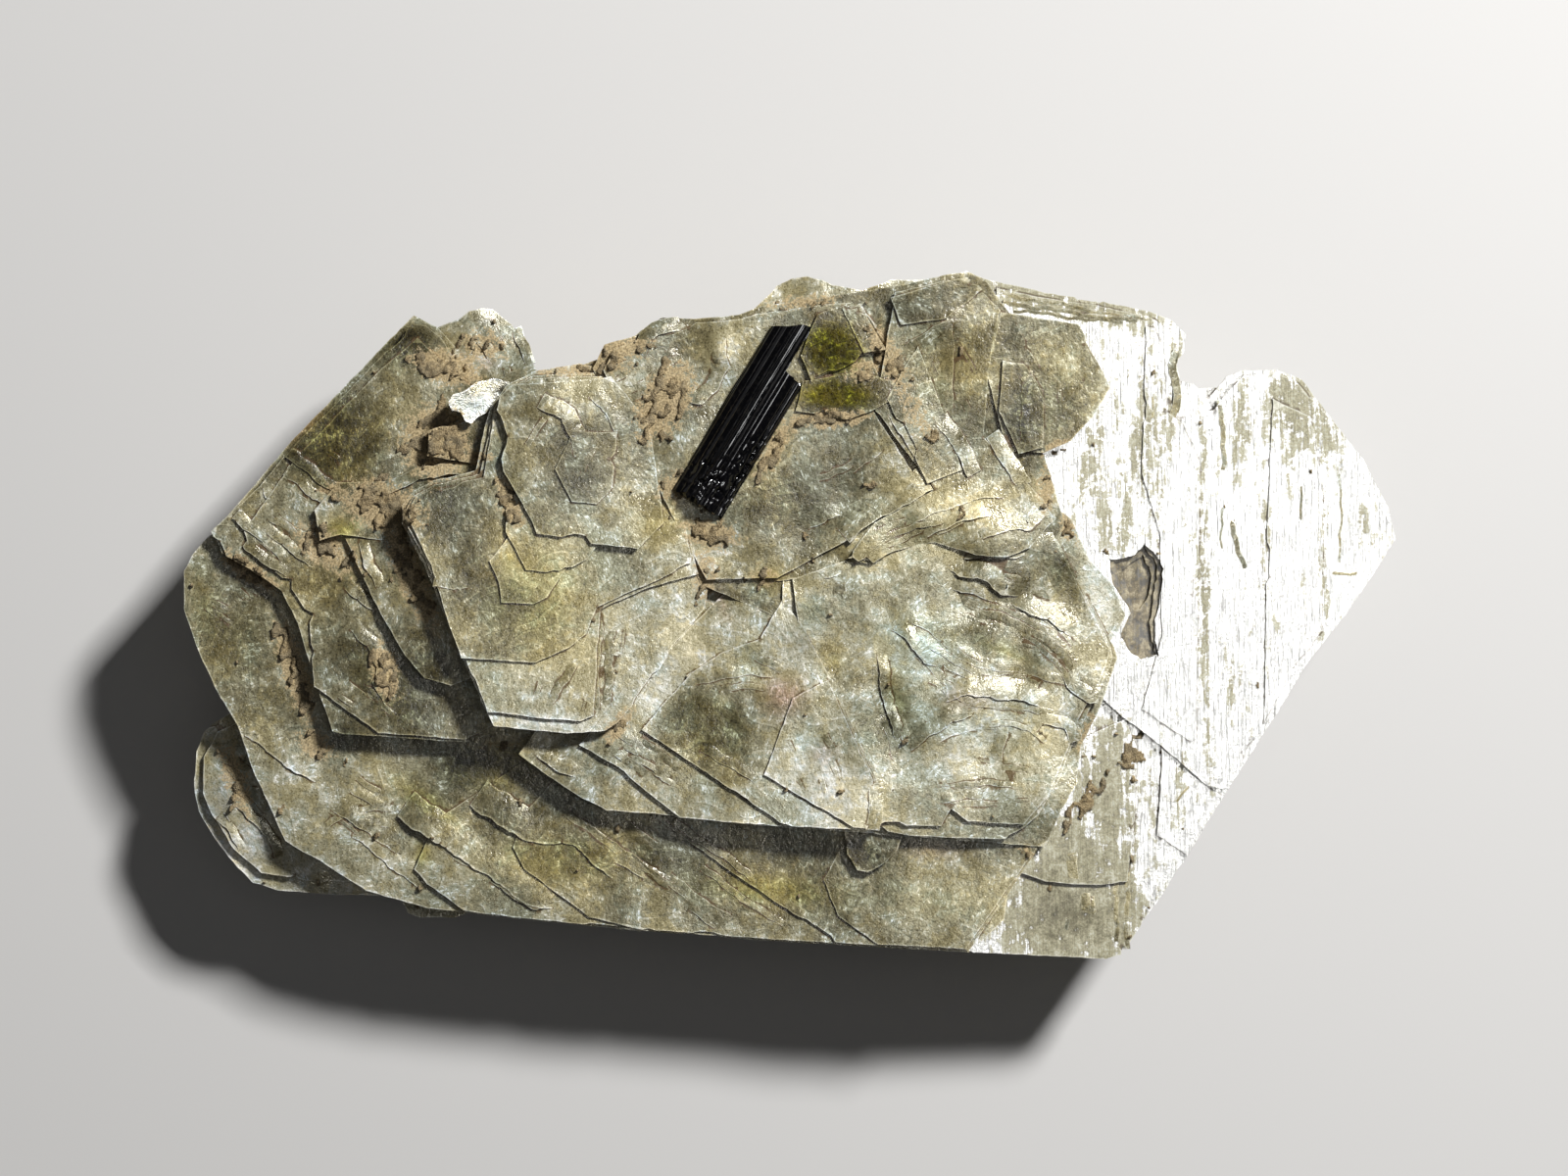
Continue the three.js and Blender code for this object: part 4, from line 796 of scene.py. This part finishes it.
# The prism: the middle of its foot, its axis and its side in plan, its size, and the shoulder near its top.
PRISM_SEAT = np.array((-9.2, 11.1, 18.5))
PRISM_WAY = np.array((0.518, 0.855, 0))
PRISM_SIDE = np.array((0.855, -0.518, 0))
PRISM_UP = np.array((0, 0, 1))
PRISM_LENGTH = 20.4
PRISM_RADIUS = 3.2
PRISM_SIDES = 6
PRISM_TURNS = 216
PRISM_RINGS = 120
PRISM_CREASE = math.radians(32)
GROOVES = 60
SHOULDER_ALONG = 15.3
SHOULDER_SIDE = 0.7
TOP_SLANT = 2.4
FOOT_BREAK = 0.6
END_SHARES = (0.25, 0.5, 0.7, 0.85, 0.95)


def tourmaline(name, rng):
    """The black prism: six bowed faces with fine lengthwise grooves, a step near its top and broken ends."""
    turns = np.linspace(0, FULL_TURN, PRISM_TURNS, endpoint=False)
    part = (turns * PRISM_SIDES / FULL_TURN) % 1 - 0.5
    flat = math.cos(math.pi / PRISM_SIDES) / np.cos(part * FULL_TURN / PRISM_SIDES)
    radius = PRISM_RADIUS * 0.5 * (1 + flat) - 0.02
    for _ in range(GROOVES):
        at, wide, deep = rng.uniform(0, FULL_TURN), rng.uniform(0.016, 0.05), rng.uniform(0.02, 0.16)
        apart = (turns - at + math.pi) % FULL_TURN - math.pi
        radius = radius - deep * np.exp(-(apart / wide) ** 2)
    chips, splinters, low_end, high_end = (Waves(71 + k, size) for k, size in enumerate((1.1, 2.4, 1.4, 2.2)))

    def ring(along, share):
        up, across = radius * share * np.cos(turns), radius * share * np.sin(turns)
        chipped = np.exp(-((along - 5.6) / 2.2) ** 2) * np.clip((across - 1.0) / 1.2, 0, 1) * (up > 0)
        up = up - 0.5 * chipped * np.clip(chips(across * 2, along), 0, 1)
        worn = np.exp(-((along - 2.6) / 1.6) ** 2) * (up > 0)
        up = up - 0.3 * worn * np.clip(chips(across, along + 9), 0, 1)
        edge = SHOULDER_ALONG + 0.25 * splinters(up, 3.0)
        across = np.minimum(across, np.where(along > edge, SHOULDER_SIDE + 0.06 * splinters(up, along), 9))
        place = np.full_like(up, along)
        if along <= FOOT_BREAK:
            place = place + (FOOT_BREAK - along) / FOOT_BREAK * (0.28 * low_end(across, up) - 0.1)
        if along >= PRISM_LENGTH - TOP_SLANT:
            share_left = np.clip((SHOULDER_SIDE - across) / (PRISM_RADIUS + SHOULDER_SIDE), 0, 1)
            fall = share_left + 0.05 * high_end(across, up)
            place = place - (along - PRISM_LENGTH + TOP_SLANT) * np.clip(fall, 0, 1) * 0.85
        return PRISM_SEAT + place[:, None] * PRISM_WAY + across[:, None] * PRISM_SIDE + up[:, None] * PRISM_UP

    points = [ring(0.0, share) for share in END_SHARES]
    points += [ring(along, 1.0) for along in np.linspace(0.0, PRISM_LENGTH, PRISM_RINGS)]
    points += [ring(PRISM_LENGTH, share) for share in reversed(END_SHARES)]
    last = (len(points) - 1) * PRISM_TURNS
    faces = []
    for start in range(0, last, PRISM_TURNS):
        for j in range(PRISM_TURNS):
            a, b = start + j, start + (j + 1) % PRISM_TURNS
            faces.append((a, b, b + PRISM_TURNS, a + PRISM_TURNS))
    faces += [tuple(reversed(range(PRISM_TURNS))), tuple(last + j for j in range(PRISM_TURNS))]
    mesh = new_mesh(name, np.concatenate(points), faces)
    mesh.shade_smooth()
    mesh.set_sharp_from_angle(angle=PRISM_CREASE)
    return add_object(name, mesh)


def mica_pieces(rng):
    """The groups of leaves with their lips, lines and ripples, and the foot, each as one solid piece.

    Lips, lines and ripples join the first group that holds leaves of their book."""
    home = {}
    parts = {}
    for group, rows in LEAVES.items():
        parts[group] = [mesh for row in rows for mesh in stack(*row, rng)]
        for row in rows:
            home.setdefault(row[0], group)
    for lip in LIPS:
        parts[home[lip[0]]].append(wedge(*lip, rng))
    for make, families in ((lines, LINE_FAMILIES), (flow, FLOWS)):
        for family in families:
            parts[home[family[0]]] += make(*family, rng)
    made = {group: joined("mica_" + group, meshes) for group, meshes in parts.items()}
    made["foot"] = joined("mica_foot", foot_leaves(rng))
    cutters = [slab_mesh(book, HOLLOW_TOP, low, rough_outline(outline, rng, 0, 0.3, 0.2, 0.5), BROKEN_TONE)
               for book, low, outline in HOLLOW]
    carved(made["silver"], cutters)
    for group, piece in made.items():
        finish_mesh(piece.data, 0.0 if group == "foot" else 1.0)
    return made


def tree_over(objects):
    """A tree that finds where a ray meets the pieces."""
    corners, triangles = [], []
    for item in objects:
        item.data.calc_loop_triangles()
        first = len(corners)
        corners += [vert.co.copy() for vert in item.data.vertices]
        triangles += [tuple(first + i for i in tri.vertices) for tri in item.data.loop_triangles]
    return BVHTree.FromPolygons(corners, triangles)


SEED = 4
rng = random.Random(SEED)
pieces = mica_pieces(rng)
pieces["clay"] = crust("clay_crust", tree_over(pieces.values()))

prism = tourmaline("tourmaline_prism", rng)
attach(prism, "root")
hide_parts("tourmaline_crystal")

for piece in pieces.values():
    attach(piece, "root")
    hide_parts("mica_cluster")


class Shader:
    """A material's nodes, with short calls to add and link them."""

    def __init__(self, name):
        self.material = bpy.data.materials.new(name)
        self.material.use_nodes = True
        self.tree = self.material.node_tree
        self.tree.nodes.clear()
        self.bsdf = self.node("BsdfPrincipled")
        self.node("OutputMaterial", {0: self.bsdf.outputs[0]})
        coords = self.node("TexCoord").outputs["Object"]
        self.place = self.node("VectorMath", {0: coords, "Scale": 1 / MM}, operation="SCALE").outputs[0]

    def node(self, kind, inputs=None, **settings):
        """A node with its settings, where each input is a socket to link or a constant."""
        made = self.tree.nodes.new("ShaderNode" + kind)
        for name, value in settings.items():
            setattr(made, name, value)
        self.fill(made, inputs or {})
        return made

    def fill(self, node, inputs):
        for name, value in inputs.items():
            if isinstance(value, bpy.types.NodeSocket):
                self.tree.links.new(value, node.inputs[name])
            else:
                node.inputs[name].default_value = value

    def look(self, inputs):
        self.fill(self.bsdf, inputs)
        return self.material

    def noise(self, scale, detail, rough, stretch=None, turn=0.0, solid=False):
        """Noise over the plan, or through the solid."""
        place = self.place
        if stretch:
            angles = self.node("CombineXYZ", {"Z": turn}).outputs[0]
            sizes = tuple(1 / v for v in stretch)
            place = self.node("Mapping", {0: place, "Rotation": angles, "Scale": sizes},
                              vector_type="TEXTURE").outputs[0]
        inputs = {"Vector": place, "Scale": scale, "Detail": detail, "Roughness": rough}
        return self.node("TexNoise", inputs, noise_dimensions="3D" if solid else "2D").outputs["Fac"]

    def layers(self, uneven):
        """Thin parallel bands one above another."""
        height = self.node("SeparateXYZ", {0: self.place}).outputs[2]
        inputs = {"W": self.total(0, (height, 1, 0), (uneven, 0.5, 0)), "Scale": 9, "Detail": 2}
        return self.node("TexNoise", inputs, noise_dimensions="1D").outputs["Fac"]

    def total(self, start, *terms):
        """A sum of sockets, each with its weight and the value at which it adds nothing."""
        result = start - sum(weight * centre for _, weight, centre in terms)
        for socket, weight, _ in terms:
            result = self.math("MULTIPLY_ADD", socket, weight, c=result)
        return result

    def palette(self, value, stops):
        """Colours along a value, from pairs of place and colour."""
        node = self.node("ValToRGB", {0: value})
        spots = node.color_ramp.elements
        while len(spots) < len(stops):
            spots.new(1.0)
        for spot, (place, color) in zip(spots, stops):
            spot.position = place
            spot.color = (*color, 1)
        return node.outputs[0]

    def ramp(self, value, low, high, out_low=0.0, out_high=1.0):
        inputs = {"Value": value, "From Min": low, "From Max": high, "To Min": out_low, "To Max": out_high}
        return self.node("MapRange", inputs, interpolation_type="SMOOTHSTEP").outputs[0]

    def math(self, operation, a, b=0.5, clamp=False, c=0.5):
        return self.node("Math", {0: a, 1: b, 2: c}, operation=operation, use_clamp=clamp).outputs[0]

    def mix(self, share, a, b, blend="MIX"):
        a, b = ((*value, 1) if isinstance(value, tuple) else value for value in (a, b))
        return self.node("Mix", {0: share, 6: a, 7: b}, data_type="RGBA", blend_type=blend).outputs[2]

    def attribute(self, name):
        return self.node("Attribute", attribute_name=name).outputs["Fac"]

    def channels(self, name):
        """The three marks that a colour attribute of the mesh holds."""
        color = self.node("Attribute", attribute_name=name).outputs["Color"]
        return self.node("SeparateColor", {0: color}).outputs[:3]

    def bump(self, height, distance, strength=1.0):
        inputs = {"Strength": strength, "Distance": distance * MM, "Height": height}
        return self.node("Bump", inputs).outputs[0]


MICA_COLOURS = [(0.0, (0.012, 0.009, 0.004)), (0.18, (0.07, 0.06, 0.027)), (0.34, (0.16, 0.143, 0.08)),
                (0.5, (0.31, 0.287, 0.18)), (0.66, (0.48, 0.465, 0.36)), (0.82, (0.68, 0.665, 0.58)),
                (1.0, (0.9, 0.89, 0.83))]
WALL_COLOURS = [(0.36, (0.06, 0.04, 0.02)), (0.5, (0.2, 0.155, 0.085)), (0.62, (0.48, 0.42, 0.28))]
BROKEN_COLOURS = [(0.36, (0.03, 0.024, 0.012)), (0.5, (0.15, 0.118, 0.058)), (0.64, (0.36, 0.31, 0.2))]
OLIVE = (0.95, 0.95, 0.62)
TAN = (1.0, 0.91, 0.68)
GREY_BLUE = (0.87, 0.95, 1.03)
YELLOW = (1.0, 0.87, 0.42)
WINDOW_GREEN = (0.86, 0.95, 0.25)
# The two rust browns below go at the feet of steps: brown dirt with painted shade.
RUST_AND_SHADE = (0.15, 0.09, 0.035)
PALE_RUST_AND_SHADE = (0.14, 0.1, 0.055)
BLUE = (0.82, 0.96, 1.0)
RED = (0.85, 0.6, 0.52)
SILVER = (0.86, 0.855, 0.82)
CLAY_DARK = (0.22, 0.155, 0.068)
CLAY_PALE = (0.56, 0.43, 0.235)
CLAY_GREY = (0.27, 0.225, 0.14)
CLAY_DRY = (0.5, 0.43, 0.31)
CLAY_PIT_SHADE = (0.05, 0.032, 0.016)
SCHORL = (0.0015, 0.0015, 0.002)
SCHORL_CHIP = (0.01, 0.009, 0.008)
SHEEN_TURN = 0.02
PRISM_TURN = -math.atan2(PRISM_WAY[0], PRISM_WAY[1])


def mica_material():
    s = Shader("mica")
    tone, wall = s.attribute("tone"), s.attribute("wall")
    clay_mark, olive_mark, pale_and_lit_mark = s.channels("marks")
    yellow_mark, blue_mark, red_mark = s.channels("stains")
    rim, foot, _ = s.channels("edges")

    cloud = s.noise(0.13, 1, 0.6)
    patchy = s.noise(0.42, 3, 0.6)
    mottle = s.noise(1.4, 3, 0.7)
    speckle = s.noise(5.0, 1, 0.7)
    own_way = s.total(0.9, (tone, 7, 0))
    threads = s.noise(1.0, 2, 0.8, stretch=(3.4, 1.3, 1.0), turn=own_way)
    films = s.math("MULTIPLY", s.noise(1.0, 1, 0.5, stretch=(0.15, 0.3, 1.0), turn=own_way), 7)
    ledge = s.math("FRACT", films)
    seen = s.ramp(patchy, 0.42, 0.56)
    # Painted shade and highlight of fine film steps: a dark line at each step, painted shade with dirt, and a
    # painted lighter band beside it.
    ledge_shade_line = s.math("MULTIPLY", seen, s.ramp(ledge, 0.16, 0.02))
    ledge_highlight_band = s.math("MULTIPLY", seen, s.ramp(ledge, 0.45, 0.16))
    window = s.ramp(yellow_mark, 0.45, 1.4)

    clay = s.ramp(s.total(0, (clay_mark, 1, 0), (mottle, 1.3, 0.5), (speckle, 0.5, 0.5)), 0.32, 0.56)
    # Painted shade with brown dirt: darker and browner at the feet of steps, where contact shadows fall.
    foot_dirt_and_shade = s.ramp(s.total(0, (foot, 1, 0), (mottle, 0.7, 0.5)), 0.6, 0.92)
    # Painted highlight: lighter along the rims of leaves, as if their edges caught the light.
    painted_rim_highlight = s.ramp(s.total(0, (rim, 1, 0), (speckle, 0.4, 0.5)), 0.78, 0.97)
    # Painted glints: small white flecks laid into the colour.
    painted_glint = s.ramp(s.total(0, (threads, 1, 0), (patchy, 0.6, 0.5), (speckle, 0.45, 0.5)), 0.68, 0.74)
    # The light mark makes leaves paler, partly as painted light on leaves that lie in shade.
    value = s.total(0.43, (tone, 0.25, 0), (pale_and_lit_mark, 0.17, 0), (olive_mark, -0.27, 0), (window, 0.07, 0),
                    (cloud, 0.36, 0.5), (patchy, 0.3, 0.5), (mottle, 0.34, 0.5), (speckle, -0.22, 0.5),
                    (threads, 0.1, 0.5), (ledge_shade_line, -0.2, 0), (ledge_highlight_band, 0.12, 0), (painted_glint, 0.34, 0),
                    (s.ramp(speckle, 0.64, 0.7), -0.16, 0), (painted_rim_highlight, 0.28, 0), (foot_dirt_and_shade, -0.34, 0))
    color = s.palette(value, MICA_COLOURS)
    uneven = s.ramp(patchy, 0.36, 0.62, 0.65, 1)
    olive = s.ramp(olive_mark, 0.3, 1.0, 0, 0.8)
    hue = s.total(0, (cloud, 0.8, 0.5), (mottle, 0.6, 0.5), (patchy, -0.8, 0.5))
    for mark, tint in ((s.ramp(hue, 0.03, 0.17), TAN), (s.ramp(hue, -0.03, -0.17), GREY_BLUE), (olive, OLIVE),
                       (yellow_mark, YELLOW), (blue_mark, BLUE), (red_mark, RED), (window, WINDOW_GREEN)):
        color = s.mix(s.math("MULTIPLY", mark, uneven, True), color, tint, "MULTIPLY")
    # Dark brown at the feet of steps: brown dirt with painted shade.
    color = s.mix(s.math("MULTIPLY", foot_dirt_and_shade, 0.6), color, RUST_AND_SHADE)
    color = s.mix(wall, color, s.palette(s.layers(patchy), WALL_COLOURS))
    clay_color = s.mix(s.ramp(speckle, 0.35, 0.65), CLAY_DARK, CLAY_PALE)
    return s.look({
        "Base Color": s.mix(s.math("MULTIPLY", clay, 0.78), color, clay_color),
        "Roughness": s.total(0.36, (patchy, 0.8, 0.5), (clay, 0.45, 0), (wall, 0.25, 0)),
        "Metallic": s.ramp(tone, 0.9, 1.3, 0.12, 0.95),
        "Specular IOR Level": s.total(0.5, (window, -0.4, 0)),
        "IOR": 1.6,
        "Normal": s.bump(s.total(0, (mottle, 1, 0), (s.math("FLOOR", films), 0.45, 0)), 0.1)})


def silver_material():
    s = Shader("silver_mica")
    tone, wall = s.attribute("tone"), s.attribute("wall")
    _, olive_mark, _ = s.channels("marks")
    rim, foot, film_mark = s.channels("edges")
    mottle = s.noise(0.8, 4, 0.76)
    speckle = s.noise(4.5, 1, 0.75)
    streaks = s.noise(1.0, 3, 0.72, stretch=(0.7, 0.1, 1.0), turn=SHEEN_TURN)
    ribs = s.noise(1.0, 2, 0.7, stretch=(3.0, 0.16, 1.0), turn=SHEEN_TURN)

    film = s.total(0.24, (streaks, 1.1, 0.5), (mottle, 1.2, 0.5), (ribs, 0.35, 0.5), (film_mark, 0.42, 0),
                   (tone, -0.1, 0))
    dull = s.ramp(film, 0.44, 0.62)
    broken = s.ramp(tone, -1, -1.5)
    # Painted shade with brown dirt: darker and browner at the feet of steps.
    foot_dirt_and_shade = s.ramp(s.total(0, (foot, 1, 0), (mottle, 0.7, 0.5)), 0.6, 0.88)
    # Painted highlight: lighter along the rims of leaves, as if their edges caught the light.
    painted_rim_highlight = s.ramp(s.total(0, (rim, 1, 0), (speckle, 0.4, 0.5)), 0.8, 0.97)
    value = s.total(0.48, (mottle, 0.8, 0.5), (speckle, -0.3, 0.5), (olive_mark, -0.3, 0), (painted_rim_highlight, 0.2, 0),
                    (foot_dirt_and_shade, -0.35, 0))
    color = s.mix(dull, SILVER, s.palette(value, MICA_COLOURS))
    # Pale brown at the feet of steps: brown dirt with painted shade.
    color = s.mix(s.math("MULTIPLY", foot_dirt_and_shade, 0.55), color, PALE_RUST_AND_SHADE)
    color = s.mix(wall, color, s.palette(s.layers(mottle), WALL_COLOURS))
    matte = s.math("MAXIMUM", s.math("MAXIMUM", s.math("MULTIPLY", dull, 0.85), broken), wall)
    return s.look({
        "Base Color": s.mix(s.math("MULTIPLY", broken, 0.9), color, s.palette(mottle, BROKEN_COLOURS)),
        "Roughness": s.ramp(matte, 0, 1, 0.3, 0.75),
        "Metallic": s.ramp(matte, 0, 1, 0.8, 0.05),
        "Coat Weight": 0.3,
        "Coat Roughness": 0.2,
        "Normal": s.bump(s.total(0, (ribs, 1, 0), (mottle, 0.9, 0)), 0.1)})


def clay_material():
    s = Shader("clay")
    grain, broad, fine = s.noise(2.6, 4, 0.8), s.noise(0.4, 2, 0.6), s.noise(9.0, 1, 0.7)
    color = s.mix(s.ramp(grain, 0.36, 0.64), CLAY_DARK, CLAY_PALE)
    color = s.mix(s.ramp(broad, 0.4, 0.65, 0, 0.6), color, CLAY_GREY)
    color = s.mix(s.ramp(fine, 0.6, 0.75, 0, 0.5), color, CLAY_DRY)
    # Painted shade: near black in the low hollows of the clay's grain.
    color = s.mix(s.ramp(grain, 0.4, 0.28, 0, 0.8), color, CLAY_PIT_SHADE)
    return s.look({"Base Color": color, "Roughness": 0.88, "Normal": s.bump(s.math("ADD", grain, fine), 0.3)})


def tourmaline_material():
    s = Shader("tourmaline")
    grain = s.noise(1.0, 2, 0.7, stretch=(5.0, 0.3, 5.0), turn=PRISM_TURN, solid=True)
    chips = s.noise(2.4, 3, 0.7, solid=True)
    return s.look({
        "Base Color": s.mix(s.ramp(chips, 0.5, 0.72), SCHORL, SCHORL_CHIP),
        "Roughness": s.ramp(chips, 0.4, 0.7, 0.04, 0.12),
        "IOR": 1.64,
        "Normal": s.bump(grain, 0.02, 0.6)})


materials = {"silver": silver_material(), "clay": clay_material()}
mica = mica_material()
for group, piece in pieces.items():
    piece.data.materials.clear()
    piece.data.materials.append(materials.get(group, mica))
prism.data.materials.append(tourmaline_material())

# The camera is straight above, framed as the photograph is: its 1600 pixels at 120 mm to 1240 of them.
PHOTO_WIDTH = 1600
MM_PER_PIXEL = 120 / 1240
EYE = (-0.774 * MM, 2.71 * MM, 0.62)
RIM_HEIGHT = 14 * MM
SENSOR = 36
camera_data = bpy.data.cameras.new("camera")
camera_data.sensor_width = SENSOR
camera_data.lens = SENSOR * (EYE[2] - RIM_HEIGHT) / (PHOTO_WIDTH * MM_PER_PIXEL * MM)
camera = add_object("camera", camera_data)
camera.location = EYE
bpy.context.scene.camera = camera

# A small key from beyond the upper right, a card that shows only in gloss, and a broad weak fill.
PLATE_HEIGHT = 0.015


def area_light(name, place, target, width, height, power):
    data = bpy.data.lights.new(name, "AREA")
    data.shape = "RECTANGLE"
    data.size, data.size_y = width, height
    data.energy = power
    light = add_object(name, data)
    light.location = place
    light.rotation_euler = (Vector(target) - Vector(place)).to_track_quat("-Z", "Y").to_euler()
    return light


area_light("key", (0.31, 0.34, 0.46), (0, 0, PLATE_HEIGHT), 0.1, 0.1, 6.55)
card = area_light("card", (0.235, -0.02, 0.62), (0.04, 0, PLATE_HEIGHT), 0.15, 0.24, 0.75)
card.visible_diffuse = False
area_light("fill", (-0.2, -0.1, 0.8), (0, 0, PLATE_HEIGHT), 0.9, 0.9, 0.4)

WORLD_COLOR = (0.9, 0.93, 1, 1)
WORLD_STRENGTH = 0.02
world = bpy.data.worlds.new("world")
bpy.context.scene.world = world
world.use_nodes = True
background = world.node_tree.nodes["Background"]
background.inputs["Color"].default_value = WORLD_COLOR
background.inputs["Strength"].default_value = WORLD_STRENGTH

FLOOR_HALF = 3000
FLOOR_COLOR = (0.6, 0.59, 0.575, 1)
floor_corners = [(x * FLOOR_HALF, y * FLOOR_HALF, 0) for x, y in ((-1, -1), (1, -1), (1, 1), (-1, 1))]
floor = add_object("floor", new_mesh("floor", floor_corners, [(0, 1, 2, 3)]))
floor.data.materials.append(Shader("floor").look({"Base Color": FLOOR_COLOR, "Roughness": 0.9}))

bpy.context.scene.view_settings.view_transform = "Standard"
